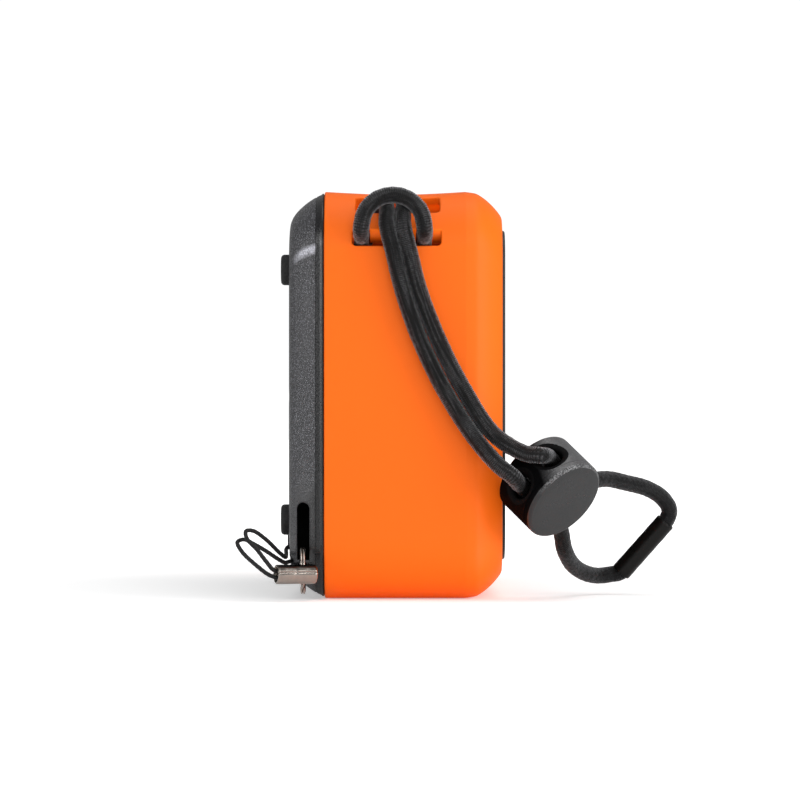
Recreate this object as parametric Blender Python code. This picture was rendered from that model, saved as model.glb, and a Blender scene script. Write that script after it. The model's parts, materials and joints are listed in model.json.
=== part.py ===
"""Portable bluetooth speaker: an outdoor speaker with an orange front housing, a domed
rear housing, a bungee carry loop with a cord lock, and a tethered port plug.

Frame: +Z up, the front grille faces -Y, the origin is on the resting plane under the
middle of the housing. Lengths below are in millimetres; MM turns them into metres.
Ranges are (low, high) pairs. Cutting shapes run past the faces they open.
"""

import math

import bmesh
import bpy
from mathutils import Matrix, Vector

MM = 0.001

# ---------------------------------------------------------------- driving dimensions
WIDTH = 132.0  # end face to end face
HEIGHT = 96.6  # resting face to top
MID_Z = HEIGHT / 2
CORNER_R = 14.0  # housing corner, seen from the front
TOP_DIP = 0.6  # shallow trough along the top, where the keys sit
Y_FRONT = -25.3  # front face of the front housing
Y_PART = 16.8  # rear edge of the front housing
Y_REAR = 25.3  # flat of the rear housing
CHAMFER = 6.2  # how far the front chamfer runs in from the outline
WALL = 2.4
REAR_WALL = 2.2
GAP = 0.3  # clearance between neighbouring pieces

GRILLE_INSET = 9.1
GRILLE_CORNER = 8.0

TONGUE_INSET = WALL + 0.35  # outline shared by the rear housing's tongue and the gasket
TONGUE_CORNER = 11.2

KEYS_X = [16.0 * i for i in range(-2, 3)]
KEY_Y = -4.0
KEY_SIZE = (11.4, 7.4)
KEY_CORNER = 2.0
LED_X = 46.0
LED_TIP_R = 0.8

DRIVER_X = -28.0
RADIATOR_X = 28.0

# (x, z) centres, mirrored left and right
SCREWS = [(side * x, z) for x, z in ((40.0, 84.0), (54.0, 48.0), (14.0, 8.5)) for side in (-1, 1)]
SCREW_HEAD_Y = 23.9  # underside of the head
FEET = [(x, z) for z in (78.1, 18.6) for x in (-50.0, 50.0)]
FOOT_R = 3.65
FOOT_PROUD = 1.7
FOOT_Y = 24.7  # inner face of a foot

PORT_Z = 16.0
USB_X = -34.5
AUX_X = -23.0
SOCKET_Y = (16.9, 22.7)
PLUG_X = -30.0
PLUG_SIZE = (24.0, 10.0)
PLUG_CORNER = 3.0
PLUG_Y = 24.3  # inner face of the plug's flange
TAB_X = -46.0
EYE_X, EYE_Z = -51.4, 12.2  # the plug's eye, at the end of its tab

RING_CENTRE = Vector((-63.6, 21.75, 6.95))
RING_R = 4.95

for old in list(bpy.data.objects):
    bpy.data.objects.remove(old, do_unlink=True)


# ---------------------------------------------------------------- materials
def new_material(name, color, roughness, metallic=0.0):
    made = bpy.data.materials.new(name)
    made.use_nodes = True
    shader = made.node_tree.nodes["Principled BSDF"]
    shader.inputs["Base Color"].default_value = (*color, 1.0)
    shader.inputs["Roughness"].default_value = roughness
    shader.inputs["Metallic"].default_value = metallic
    made.diffuse_color = (*color, 1.0)
    return made


ORANGE = new_material("orange_plastic", color=(1.0, 0.17, 0.012), roughness=0.42)
DARK = new_material("dark_textured_plastic", color=(0.042, 0.043, 0.047), roughness=0.5)
BLACK = new_material("black_plastic", color=(0.03, 0.03, 0.032), roughness=0.45)
LOCK = new_material("lock_plastic", color=(0.05, 0.05, 0.052), roughness=0.42)
RUBBER = new_material("black_rubber", color=(0.02, 0.02, 0.021), roughness=0.7)
CORD = new_material("braided_cord", color=(0.035, 0.035, 0.036), roughness=0.85)
TETHER = new_material("tether_cord", color=(0.012, 0.012, 0.012), roughness=0.7)
SLEEVE = new_material("sleeve", color=(0.012, 0.011, 0.01), roughness=0.22)
NICKEL = new_material("nickel", color=(0.72, 0.66, 0.6), roughness=0.22, metallic=1.0)
GRILLE = new_material("grille_steel", color=(0.03, 0.03, 0.032), roughness=0.4, metallic=0.6)
STEEL = new_material("zinc_steel", color=(0.55, 0.55, 0.57), roughness=0.35, metallic=1.0)
FERRITE = new_material("ferrite", color=(0.04, 0.04, 0.042), roughness=0.6)
PAPER = new_material("cone_paper", color=(0.02, 0.02, 0.022), roughness=0.75)
FOAM = new_material("surround_rubber", color=(0.015, 0.015, 0.016), roughness=0.6)
COPPER = new_material("copper", color=(0.75, 0.32, 0.16), roughness=0.3, metallic=1.0)
PCB = new_material("circuit_board", color=(0.01, 0.12, 0.045), roughness=0.45)
CELL = new_material("cell_wrap", color=(0.03, 0.12, 0.4), roughness=0.35)
CLEAR = new_material("light_pipe", color=(0.85, 0.88, 0.9), roughness=0.15)
WIRE = new_material("cable_sheath", color=(0.35, 0.015, 0.015), roughness=0.5)


# ---------------------------------------------------------------- objects
SMOOTH_ANGLE = math.radians(35)  # steeper edges stay sharp


def add_piece(name, shape, material, origin=(0, 0, 0), parent=None):
    """Turns a bmesh in millimetres into an object in metres with its origin at origin."""
    bmesh.ops.recalc_face_normals(shape, faces=shape.faces)
    origin = Vector(origin)
    shape.transform(Matrix.Scale(MM, 4) @ Matrix.Translation(-origin))
    mesh = bpy.data.meshes.new(name)
    shape.to_mesh(mesh)
    shape.free()
    piece = bpy.data.objects.new(name, mesh)
    bpy.context.scene.collection.objects.link(piece)
    piece.location = origin * MM
    if parent is not None:
        piece.parent = parent
        piece.location = origin * MM - parent.location
    if material is not None:
        mesh.materials.append(material)
        mesh.shade_smooth()
        mesh.set_sharp_from_angle(angle=SMOOTH_ANGLE)
    return piece


def joint_empty(name, place):
    empty = bpy.data.objects.new(name, None)
    empty.location = Vector(place) * MM
    empty.empty_display_size = 0.004
    bpy.context.scene.collection.objects.link(empty)
    return empty


def boolean(target, shape, operation):
    """Applies shape to target with an exact Boolean and returns the hidden tool."""
    count = len(target.modifiers)
    tool = add_piece(f"{target.name}_tool_{count}", shape, None)
    tool.hide_render = True
    tool.display_type = "WIRE"
    modifier = target.modifiers.new(f"{operation.lower()}_{count}", "BOOLEAN")
    modifier.operation = operation
    modifier.solver = "EXACT"
    modifier.object = tool
    return tool


def cut(target, shape):
    return boolean(target, shape, "DIFFERENCE")


def join(target, shape):
    return boolean(target, shape, "UNION")


# ---------------------------------------------------------------- flat outlines
def arc_point(x, z, radius, degrees):
    angle = math.radians(degrees)
    return x + radius * math.cos(angle), z + radius * math.sin(angle)


def outline(inset, radius, top_dip=0.0, steps=5):
    """The housing's rounded rectangle in X and Z, its top lowered by top_dip."""
    half, low, high = WIDTH / 2 - inset, inset, HEIGHT - inset
    points = []
    for centre_x, centre_z, start in (
        (half - radius, high - radius, 0),
        (-half + radius, high - radius, 90),
        (-half + radius, low + radius, 180),
        (half - radius, low + radius, 270),
    ):
        for i in range(steps + 1):
            x, z = arc_point(centre_x, centre_z, radius, start + 90 * i / steps)
            if top_dip and centre_z > MID_Z and z > centre_z:
                z = centre_z + (z - centre_z) * (high - top_dip - centre_z) / (high - centre_z)
            points.append((x, z))
    return points


def rounded(x, z, width, height, radius, steps=4):
    """Rounded rectangle about (x, z)."""
    points = []
    for side_x, side_z, start in ((1, 1, 0), (-1, 1, 90), (-1, -1, 180), (1, -1, 270)):
        corner_x = x + side_x * (width / 2 - radius)
        corner_z = z + side_z * (height / 2 - radius)
        for i in range(steps + 1):
            points.append(arc_point(corner_x, corner_z, radius, start + 90 * i / steps))
    return points


def circle(x, z, radius, steps):
    return [arc_point(x, z, radius, 360 * i / steps) for i in range(steps)]


def disc(centre, across, up, radius, steps, turn=0.0):
    """Circle of points in space, on the two given unit directions."""
    points = []
    for i in range(steps):
        angle = 2 * math.pi * i / steps + turn
        points.append(centre + across * (radius * math.cos(angle)) + up * (radius * math.sin(angle)))
    return points


# ---------------------------------------------------------------- solids
def skin(rings, closed=False):
    """Joins rings of points, each of the same length, and caps the ends of an open row."""
    shape = bmesh.new()
    rows = [[shape.verts.new(point) for point in ring] for ring in rings]
    count = len(rows[0])
    for i in range(len(rows) if closed else len(rows) - 1):
        row, following = rows[i], rows[(i + 1) % len(rows)]
        for k in range(count):
            n = (k + 1) % count
            shape.faces.new((row[k], row[n], following[n], following[k]))
    if not closed:
        shape.faces.new(rows[0][::-1])
        shape.faces.new(rows[-1])
    return shape


def loft_y(sections):
    """Solid through (y, outline in X and Z) sections."""
    return skin([[(x, y, z) for x, z in points] for y, points in sections])


def loft_z(sections):
    """Solid through (z, outline in X and Y) sections."""
    return skin([[(x, y, z) for x, y in points] for z, points in sections])


def housing_loft(rows):
    """Solid through housing outlines. Rows are (y, inset, corner radius, top dip)."""
    return loft_y([(y, outline(inset, radius, dip)) for y, inset, radius, dip in rows])


def plate(points, y_range):
    return loft_y([(y, points) for y in y_range])


def upright(points, z_range):
    return loft_z([(z, points) for z in z_range])


def along_x(points, x_range):
    """An outline in Y and Z, given length along X."""
    return skin([[(x, y, z) for y, z in points] for x in x_range])


def box(x_range, y_range, z_range):
    (x0, x1), (z0, z1) = x_range, z_range
    return plate([(x0, z0), (x1, z0), (x1, z1), (x0, z1)], y_range)


def revolve(profile, centre_x, centre_z, steps):
    """Turns a closed profile of (radius, y) about the Y axis through the centre."""
    shape = bmesh.new()
    axis_points = {}  # profile points on the axis are shared by all rows
    rows = []
    for i in range(steps):
        angle = 2 * math.pi * i / steps
        row = []
        for k, (radius, y) in enumerate(profile):
            if radius < 1e-6:
                if k not in axis_points:
                    axis_points[k] = shape.verts.new((centre_x, y, centre_z))
                row.append(axis_points[k])
            else:
                x = centre_x + radius * math.cos(angle)
                row.append(shape.verts.new((x, y, centre_z + radius * math.sin(angle))))
        rows.append(row)
    for i in range(steps):
        row, following = rows[i], rows[(i + 1) % steps]
        for k in range(len(profile)):
            n = (k + 1) % len(profile)
            corners = [row[k], row[n], following[n], following[k]]
            unique = [vert for j, vert in enumerate(corners) if vert not in corners[:j]]
            if len(unique) > 2:
                shape.faces.new(unique)
    return shape


# ---------------------------------------------------------------- paths
def catmull(points, per_span, closed):
    """Centripetal Catmull-Rom path, with per_span points from each point to the next."""

    def mix(first, second, start, end):
        """The line through first at start and second at end, taken at t."""
        return first * ((end - t) / (end - start)) + second * ((t - start) / (end - start))

    points = [Vector(point) for point in points]
    count = len(points)
    path = []
    for i in range(count if closed else count - 1):
        if closed:
            near = [points[(i + k) % count] for k in (-1, 0, 1, 2)]
        else:
            here, ahead = points[i], points[i + 1]
            before = points[i - 1] if i else here * 2 - ahead
            beyond = points[i + 2] if i + 2 < count else ahead * 2 - here
            near = [before, here, ahead, beyond]
        knots = [0.0]
        for start, end in zip(near, near[1:]):
            knots.append(knots[-1] + max((end - start).length, 1e-6) ** 0.5)
        for step in range(per_span):
            t = knots[1] + (knots[2] - knots[1]) * step / per_span
            lines = [mix(near[k], near[k + 1], knots[k], knots[k + 1]) for k in range(3)]
            curves = [mix(lines[k], lines[k + 1], knots[k], knots[k + 2]) for k in range(2)]
            path.append(mix(*curves, knots[1], knots[2]))
    if not closed:
        path.append(points[-1])
    return path


def evenly(path, count, closed):
    """The same path with its points spaced evenly."""
    path = path + [path[0]] if closed else path
    lengths = [0.0]
    for start, end in zip(path, path[1:]):
        lengths.append(lengths[-1] + (end - start).length)
    spaced, k = [], 0
    for i in range(count):
        want = lengths[-1] * i / (count if closed else count - 1)
        while k < len(path) - 2 and lengths[k + 1] < want:
            k += 1
        share = (want - lengths[k]) / max(lengths[k + 1] - lengths[k], 1e-9)
        spaced.append(path[k].lerp(path[k + 1], min(max(share, 0.0), 1.0)))
    return spaced


def smooth_path(points, per_span, count, closed=False):
    return evenly(catmull(points, per_span, closed), count, closed)


def sweep(path, radius, sides, closed=False):
    """A round tube along a path, its rings turned as little as possible."""
    count = len(path)
    tangents = []
    for i in range(count):
        if closed:
            step = path[(i + 1) % count] - path[i - 1]
        else:
            step = path[min(i + 1, count - 1)] - path[max(i - 1, 0)]
        tangents.append(step.normalized())
    normal = tangents[0].orthogonal().normalized()
    normals = [normal]
    for i in range(1, count):
        normal = tangents[i - 1].rotation_difference(tangents[i]) @ normal
        normal = (normal - tangents[i] * normal.dot(tangents[i])).normalized()
        normals.append(normal)
    # a closed tube spreads over its length the turn needed to meet its own start
    twist = 0.0
    if closed:
        back = tangents[-1].rotation_difference(tangents[0]) @ normals[-1]
        twist = math.atan2(tangents[0].dot(back.cross(normals[0])), back.dot(normals[0]))
    rings = []
    for i in range(count):
        side = tangents[i].cross(normals[i])
        rings.append(disc(path[i], normals[i], side, radius, sides, twist * i / count))
    return skin(rings, closed)


# ---------------------------------------------------------------- front housing
# y, inset
FRONT_PROFILE = [
    (Y_FRONT, CHAMFER), (-24.5, 5.0), (-22.6, 2.9), (-20.8, 1.4), (-18.9, 0.3), (-16.5, 0.0),
]
# y, share of TOP_DIP
DIP_PROFILE = [(-11.0, 0.55), (-4.0, 1.0), (4.0, 1.0), (10.0, 0.6), (Y_PART, 0.0)]
# y, inset, corner radius, top dip
FRONT_HOLLOW = [
    (-21.0, WALL + 2.0, 9.5, 0.6),
    (-18.5, WALL + 0.4, 11.0, 0.6),
    (11.5, WALL + 0.4, 11.0, 0.6),
    (11.5, 4.7, 9.3, 0.6),
    (12.9, 4.7, 9.3, 0.6),
    (12.9, WALL, 11.6, 0.0),
    (Y_PART + 2, WALL, 11.6, 0.0),
]

# Strap bar at each top corner. Angles are in degrees from vertical and radii are
# measured from the corner centre.
BLOCK_ANGLES, BLOCK_RADII, BLOCK_Y = (6, 112), (3.4, 12.6), (-12.9, 11.45)
POCKET_ANGLES, POCKET_RADII = (17.0, 100.0), (5.4, 11.8)
WINDOW_ANGLES = [(28.0, 53.0), (69.0, 88.5)]  # upper, lower
WINDOW_RADII, WINDOW_Y = (10.5, 20), (-10.7, 10.2)

KEY_HOLE_Z = (88, 100)
POST_R, POST_Y = 3.0, (4.0, 16.5)
POST_BORE_R, POST_BORE_Y = 1.45, (6.0, 20.0)
RIB_HALF = 1.2
RIB_Y = (POST_Y[0] + 1, 11.0)
RIB_END_X = WIDTH / 2 - 1.2
RIB_TOP_Z, RIB_BOTTOM_Z = HEIGHT - 1.6, 1.2


def sector(side, angles, radii, y_range, steps=9):
    """A curved block of the top corner on side -1 or +1."""

    def corner_point(degrees, radius):
        angle = math.radians(degrees)
        return (
            side * (WIDTH / 2 - CORNER_R + radius * math.sin(angle)),
            HEIGHT - CORNER_R + radius * math.cos(angle),
        )

    first, last = angles
    inner, outer = radii
    arc = [first + (last - first) * i / steps for i in range(steps + 1)]
    points = [corner_point(angle, outer) for angle in arc]
    points += [corner_point(angle, inner) for angle in reversed(arc)]
    return plate(points, y_range)


def post_rib(x, z):
    """The rib from a screw post to the nearest wall."""
    if abs(x) > 50:
        reach = sorted((x, math.copysign(RIB_END_X, x)))
        return box(reach, RIB_Y, (z - RIB_HALF, z + RIB_HALF))
    reach = sorted((z, RIB_TOP_Z if z > MID_Z else RIB_BOTTOM_Z))
    return box((x - RIB_HALF, x + RIB_HALF), RIB_Y, reach)


def build_front_housing():
    rows = [(y, inset, CORNER_R - 0.7 * inset, 0.0) for y, inset in FRONT_PROFILE]
    rows += [(y, 0.0, CORNER_R, TOP_DIP * share) for y, share in DIP_PROFILE]
    front = add_piece("front_housing", housing_loft(rows), ORANGE)
    cut(front, housing_loft(FRONT_HOLLOW))

    # recess for the grille, and the opening behind it
    recess = outline(GRILLE_INSET - GAP, GRILLE_CORNER + GAP)
    cut(front, plate(recess, (Y_FRONT - 3, -23.7)))
    cut(front, plate(outline(12.5, 6.0), (-24.5, -20.0)))

    # blind pockets behind the strap bars: a solid block, the pocket, then the two windows
    for side in (-1, 1):
        join(front, sector(side, BLOCK_ANGLES, BLOCK_RADII, BLOCK_Y))
    for side in (-1, 1):
        cut(front, sector(side, POCKET_ANGLES, POCKET_RADII, WINDOW_Y))
        for angles in WINDOW_ANGLES:
            cut(front, sector(side, angles, WINDOW_RADII, WINDOW_Y, steps=6))

    width, depth = KEY_SIZE
    for x in KEYS_X:
        hole = rounded(x, KEY_Y, width + 2 * GAP, depth + 2 * GAP, KEY_CORNER + GAP)
        cut(front, upright(hole, KEY_HOLE_Z))
    cut(front, upright(circle(LED_X, KEY_Y, LED_TIP_R + GAP, 12), KEY_HOLE_Z))

    for x, z in SCREWS:
        join(front, plate(circle(x, z, POST_R, 12), POST_Y))
        join(front, post_rib(x, z))
    for x, z in SCREWS:
        cut(front, plate(circle(x, z, POST_BORE_R, 10), POST_BORE_Y))


# ---------------------------------------------------------------- rear housing
OUTSIDE_Y = 30.0  # where cuts from the rear begin, clear of the housing
# y, inset
REAR_PROFILE = [
    (Y_PART + GAP, 0.5), (18.65, 1.2), (20.5, 2.3), (22.4, 3.8), (23.9, 5.4), (24.9, 7.3),
    (Y_REAR, 10.0),
]
# y, inset, corner radius, top dip
REAR_HOLLOW = [
    (13.0, 4.4, 9.6, 0.0),
    (18.0, 4.4, 9.6, 0.0),
    (20.4, 5.6, 9.0, 0.0),
    (22.0, 7.4, 8.2, 0.0),
    (Y_REAR - REAR_WALL, 10.5, 6.6, 0.0),
]
TONGUE_Y = (14.5, 18.0)
BOSS_R, BOSS_Y = 3.4, (18.5, 24.0)
BOSS_BORE_R, COUNTERBORE_R = 1.5, 2.6
LUG_SLOT_X, LUG_SLOT_Y, LUG_SLOT_Z = (-70.0, -56.5), (20.3, 23.2), (9.4, 22.9)
RING_CHANNEL_R = 1.1
RING_PATH = disc(RING_CENTRE, Vector((1, 0, 0)), Vector((0, 0, 1)), RING_R, 30)
PORT_OPENING_Y = (20.0, OUTSIDE_Y)


def lug_slot():
    """Slot of the tether lug, with a round top."""
    (y0, y1), (z0, z1) = LUG_SLOT_Y, LUG_SLOT_Z
    radius = (y1 - y0) / 2
    points = [(y0, z0), (y1, z0)]
    points += [arc_point((y0 + y1) / 2, z1 - radius, radius, 180 * i / 8) for i in range(9)]
    return along_x(points, LUG_SLOT_X)


def build_rear_housing():
    rows = [(y, inset, 13.3 - 0.5 * inset, 0.0) for y, inset in REAR_PROFILE]
    rear = add_piece("rear_housing", housing_loft(rows), DARK)
    # the tongue that enters the front housing
    join(rear, plate(outline(TONGUE_INSET, TONGUE_CORNER), TONGUE_Y))
    # hollow, which leaves the corner of the tether lug solid
    hollow = cut(rear, housing_loft(REAR_HOLLOW))
    cut(hollow, plate(rounded(-54.2, 14.6, 16.4, 18.0, 4.0), (17.6, OUTSIDE_Y)))

    for x, z in SCREWS:
        join(rear, plate(circle(x, z, BOSS_R, 12), BOSS_Y))
    for x, z in SCREWS:
        cut(rear, plate(circle(x, z, BOSS_BORE_R, 10), (12.0, OUTSIDE_Y)))
        counterbore = circle(x, z, COUNTERBORE_R, 12)
        cut(rear, plate(counterbore, (SCREW_HEAD_Y - GAP, OUTSIDE_Y)))
    for x, z in FEET:
        cut(rear, plate(circle(x, z, FOOT_R + GAP, 18), (FOOT_Y - GAP, OUTSIDE_Y)))

    # the tether lug's slot, and the ring's curved channel below it
    cut(rear, lug_slot())
    cut(rear, sweep(RING_PATH, RING_CHANNEL_R, 10, closed=True))

    # port bay: the recess of the plug, and the first opening behind it
    width, height = PLUG_SIZE
    bay = rounded(PLUG_X, PORT_Z, width + 2 * GAP, height + 2 * GAP, PLUG_CORNER + GAP)
    cut(rear, plate(bay, (PLUG_Y - GAP, OUTSIDE_Y)))
    cut(rear, plate(rounded(USB_X, PORT_Z, 8.6, 4.0, 1.2), PORT_OPENING_Y))
    # channel for the plug's tab, and a deeper well round its eye, where the tether passes
    cut(rear, plate(rounded(TAB_X, EYE_Z, 12.0, 3.2, 1.2, 3), (24.25, OUTSIDE_Y)))
    cut(rear, plate(rounded(-52.0, 11.3, 8.2, 7.2, 2.6), (23.3, OUTSIDE_Y)))
    cut(rear, plate(circle(AUX_X, PORT_Z, 2.3, 16), PORT_OPENING_Y))


# ---------------------------------------------------------------- gasket, grille
GASKET_Y = (13.2, 14.2)
GASKET_WIDTH = 1.2
GRILLE_FACE_Y = Y_FRONT - 0.7
GRILLE_BACK_Y = -23.95
GRILLE_BEVEL = 0.35
GRILLE_SLOT_X = (-26.0, 26.0)
GRILLE_SLOT_ROWS, GRILLE_SLOT_PITCH = 9, 7.2
GRILLE_SLOT_SIZE, GRILLE_SLOT_CORNER = (47.0, 2.6), 1.29


def build_gasket():
    outer = outline(TONGUE_INSET, TONGUE_CORNER)
    inner = outline(TONGUE_INSET + GASKET_WIDTH, TONGUE_CORNER - GASKET_WIDTH)
    gasket = add_piece("main_gasket", plate(outer, GASKET_Y), RUBBER)
    cut(gasket, plate(inner, (10.0, 16.0)))


def build_grille():
    rows = [
        (GRILLE_BACK_Y, GRILLE_INSET, GRILLE_CORNER, 0.0),
        (GRILLE_FACE_Y + GRILLE_BEVEL, GRILLE_INSET, GRILLE_CORNER, 0.0),
        (GRILLE_FACE_Y, GRILLE_INSET + GRILLE_BEVEL, GRILLE_CORNER - GRILLE_BEVEL, 0.0),
    ]
    grille = add_piece("front_grille", housing_loft(rows), GRILLE)
    # hollow behind the face, which leaves a rim
    cut(grille, plate(outline(GRILLE_INSET + 1.4, 6.8), (-25.2, -20.0)))
    for x in GRILLE_SLOT_X:
        for row in range(GRILLE_SLOT_ROWS):
            z = MID_Z + (row - (GRILLE_SLOT_ROWS - 1) / 2) * GRILLE_SLOT_PITCH
            slot = rounded(x, z, *GRILLE_SLOT_SIZE, GRILLE_SLOT_CORNER, 2)
            cut(grille, plate(slot, (-30.0, -20.0)))


# ---------------------------------------------------------------- driver and radiator
BAFFLE_Y = (-20.7, -18.7)
BAFFLE_HOLE_R = 23.3
FLANGE_FRONT, FLANGE_BACK = -18.4, -17.0
FLANGE_INNER, FLANGE_OUTER = 21.6, 26.0
# Profiles are closed outlines of (radius, y).
BASKET = [
    (FLANGE_INNER, FLANGE_FRONT), (FLANGE_OUTER, FLANGE_FRONT), (FLANGE_OUTER, FLANGE_BACK),
    (23.2, FLANGE_BACK), (16.6, -7.0), (6.95, -7.0), (6.95, -8.0), (15.9, -8.0),
    (FLANGE_INNER, FLANGE_BACK),
]
CONE = [
    (0.0, -15.6), (4.0, -15.1), (7.6, -13.3), (17.4, -18.5), (17.4, -17.8), (7.6, -12.4),
    (0.0, -12.4),
]
COIL = [(5.95, -12.0), (6.6, -12.0), (6.6, -4.0), (5.95, -4.0)]
MAGNET = [(7.4, -6.7), (15.0, -6.7), (15.0, 0.4), (7.4, 0.4)]
YOKE = [(0.0, -8.4), (5.6, -8.4), (5.6, 0.7), (14.6, 0.7), (14.6, 2.6), (0.0, 2.6)]
RADIATOR_FRAME = [
    (FLANGE_INNER, FLANGE_FRONT), (FLANGE_OUTER, FLANGE_FRONT),
    (FLANGE_OUTER, FLANGE_BACK), (FLANGE_INNER, FLANGE_BACK),
]
RADIATOR_PLATE = [(0.0, -19.0), (16.6, -19.0), (17.4, -18.5), (17.4, -17.5), (0.0, -17.5)]

# surround: a half roll, as (radius, y) steps from where its front side starts
ROLL = [(0.0, 0.0), (0.6, -1.2), (1.7, -1.6), (2.8, -1.2), (3.4, 0.0)]
ROLL_R, ROLL_Y = 17.8, -18.9
ROLL_EDGE = 0.5  # width of each rim
ROLL_BACK, ROLL_FLATTEN = 0.25, 0.7  # setback and height share of the rear side


def surround_profile():
    width = ROLL[-1][0]
    shrink = (width - 2 * ROLL_EDGE) / width
    front = [(ROLL_R + out, ROLL_Y + y) for out, y in ROLL]
    rear = [
        (ROLL_R + ROLL_EDGE + out * shrink, ROLL_Y + ROLL_BACK + y * ROLL_FLATTEN)
        for out, y in ROLL[::-1]
    ]
    return front + rear


def turned(name, profile, x, material):
    shape = revolve(profile, x, MID_Z, 22)
    add_piece(name, shape, material, (x, profile[0][1], MID_Z))


def build_driver_and_radiator():
    baffle = add_piece("driver_baffle", plate(outline(5.2, 8.6), BAFFLE_Y), BLACK)
    for x in (DRIVER_X, RADIATOR_X):
        cut(baffle, plate(circle(x, MID_Z, BAFFLE_HOLE_R, 28), (-25, -15)))
    turned("driver_basket", BASKET, DRIVER_X, STEEL)
    turned("driver_cone", CONE, DRIVER_X, PAPER)
    turned("driver_surround", surround_profile(), DRIVER_X, FOAM)
    turned("voice_coil", COIL, DRIVER_X, COPPER)
    turned("driver_magnet", MAGNET, DRIVER_X, FERRITE)
    turned("driver_yoke", YOKE, DRIVER_X, STEEL)
    turned("radiator_frame", RADIATOR_FRAME, RADIATOR_X, BLACK)
    turned("radiator_plate", RADIATOR_PLATE, RADIATOR_X, BLACK)
    turned("radiator_surround", surround_profile(), RADIATOR_X, FOAM)


# ---------------------------------------------------------------- electronics
CELL_Y, CELL_Z, CELL_R = 9.6, 22.4, 9.2
CELL_X = (-14.5, 50.5)
HOLDER_X = (CELL_X[0] + 2.5, CELL_X[1] - 2.5)
HOLDER_INNER, HOLDER_OUTER = 9.5, 10.6  # radii about the cell's axis


def build_main_board():
    add_piece("main_pcb", box((-49, -18.2), (15.0, 16.6), (9.5, 60)), PCB)
    add_piece("radio_shield", box((-41, -27), (16.9, 19.1), (36, 50)), STEEL)
    usb = add_piece("usb_socket", plate(rounded(USB_X, PORT_Z, 8.4, 3.8, 1.0), SOCKET_Y), STEEL)
    cut(usb, plate(rounded(USB_X, PORT_Z, 7.4, 2.8, 0.7), (18.0, 26.0)))
    aux = add_piece("aux_socket", plate(circle(AUX_X, PORT_Z, 2.9, 16), SOCKET_Y), BLACK)
    cut(aux, plate(circle(AUX_X, PORT_Z, 1.85, 14), (17.6, 26.0)))


def build_battery():
    add_piece("battery_cell", along_x(circle(CELL_Y, CELL_Z, CELL_R, 28), CELL_X), CELL)
    arc = [190 + 160 * i / 12 for i in range(13)]  # the underside of the cell
    cradle = [arc_point(CELL_Y, CELL_Z, HOLDER_OUTER, angle) for angle in arc]
    cradle += [arc_point(CELL_Y, CELL_Z, HOLDER_INNER, angle) for angle in reversed(arc)]
    add_piece("battery_holder", along_x(cradle, HOLDER_X), BLACK)


# ---------------------------------------------------------------- keys
KEY_TOP = HEIGHT - TOP_DIP + 0.35
KEY_SECTIONS = [(92.5, 0.0), (KEY_TOP - 0.3, 0.0), (KEY_TOP, 0.35)]  # z, inset
KEY_ORIGIN_Z = 92.4
KEY_FLANGE_GROWTH, KEY_FLANGE_CORNER, KEY_FLANGE_Z = 1.8, 2.8, (92.3, 92.9)
LED_SECTIONS = [(90.5, 1.6), (92.6, 1.6), (92.6, LED_TIP_R), (96.0, LED_TIP_R)]  # z, radius


def build_key(number, x):
    width, depth = KEY_SIZE
    sections = [
        (z, rounded(x, KEY_Y, width - 2 * inset, depth - 2 * inset, KEY_CORNER - inset))
        for z, inset in KEY_SECTIONS
    ]
    key = add_piece(f"button_{number}", loft_z(sections), ORANGE, (x, KEY_Y, KEY_ORIGIN_Z))
    flange = rounded(
        x, KEY_Y, width + KEY_FLANGE_GROWTH, depth + KEY_FLANGE_GROWTH, KEY_FLANGE_CORNER
    )
    join(key, upright(flange, KEY_FLANGE_Z))


def build_keys():
    add_piece("key_pcb", box((-42, 50), (KEY_Y - 7, KEY_Y + 7), (88.6, 90.2)), PCB)
    membrane = box((-41, 41), (KEY_Y - 6.5, KEY_Y + 6.5), (90.5, 91.6))
    add_piece("key_membrane", membrane, RUBBER)
    for number, x in enumerate(KEYS_X, 1):
        build_key(number, x)
    pipe = loft_z([(z, circle(LED_X, KEY_Y, radius, 12)) for z, radius in LED_SECTIONS])
    add_piece("led_light_pipe", pipe, CLEAR)


# ---------------------------------------------------------------- feet and screws
FOOT_FACE = Y_REAR + FOOT_PROUD
# y, radius
FOOT_SECTIONS = [
    (FOOT_Y, FOOT_R), (FOOT_FACE - 0.5, FOOT_R), (FOOT_FACE - 0.15, FOOT_R - 0.2),
    (FOOT_FACE, FOOT_R - 0.65),
]
SCREW_SECTIONS = [(8.0, 1.1), (SCREW_HEAD_Y, 1.1), (SCREW_HEAD_Y, 2.25), (25.0, 2.25)]
CROSS_WIDTH, CROSS_LENGTH, CROSS_Y = 0.5, 2.4, (24.3, 27)


def build_foot(number, x, z):
    shape = loft_y([(y, circle(x, z, radius, 18)) for y, radius in FOOT_SECTIONS])
    add_piece(f"rear_foot_{number}", shape, RUBBER, (x, FOOT_Y, z))


def build_screw(number, x, z):
    shape = loft_y([(y, circle(x, z, radius, 12)) for y, radius in SCREW_SECTIONS])
    screw = add_piece(f"housing_screw_{number}", shape, STEEL, (x, SCREW_HEAD_Y, z))
    for width, height in ((CROSS_WIDTH, CROSS_LENGTH), (CROSS_LENGTH, CROSS_WIDTH)):
        x_range = (x - width / 2, x + width / 2)
        cut(screw, box(x_range, CROSS_Y, (z - height / 2, z + height / 2)))


# ---------------------------------------------------------------- port plug
PLUG_SECTIONS = [(PLUG_Y, 0.0), (25.7, 0.0), (25.95, 0.3)]  # y, inset
PRONG_END_Y = 24.6  # inside the flange
TAB_Y = (24.6, 25.2)


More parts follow.
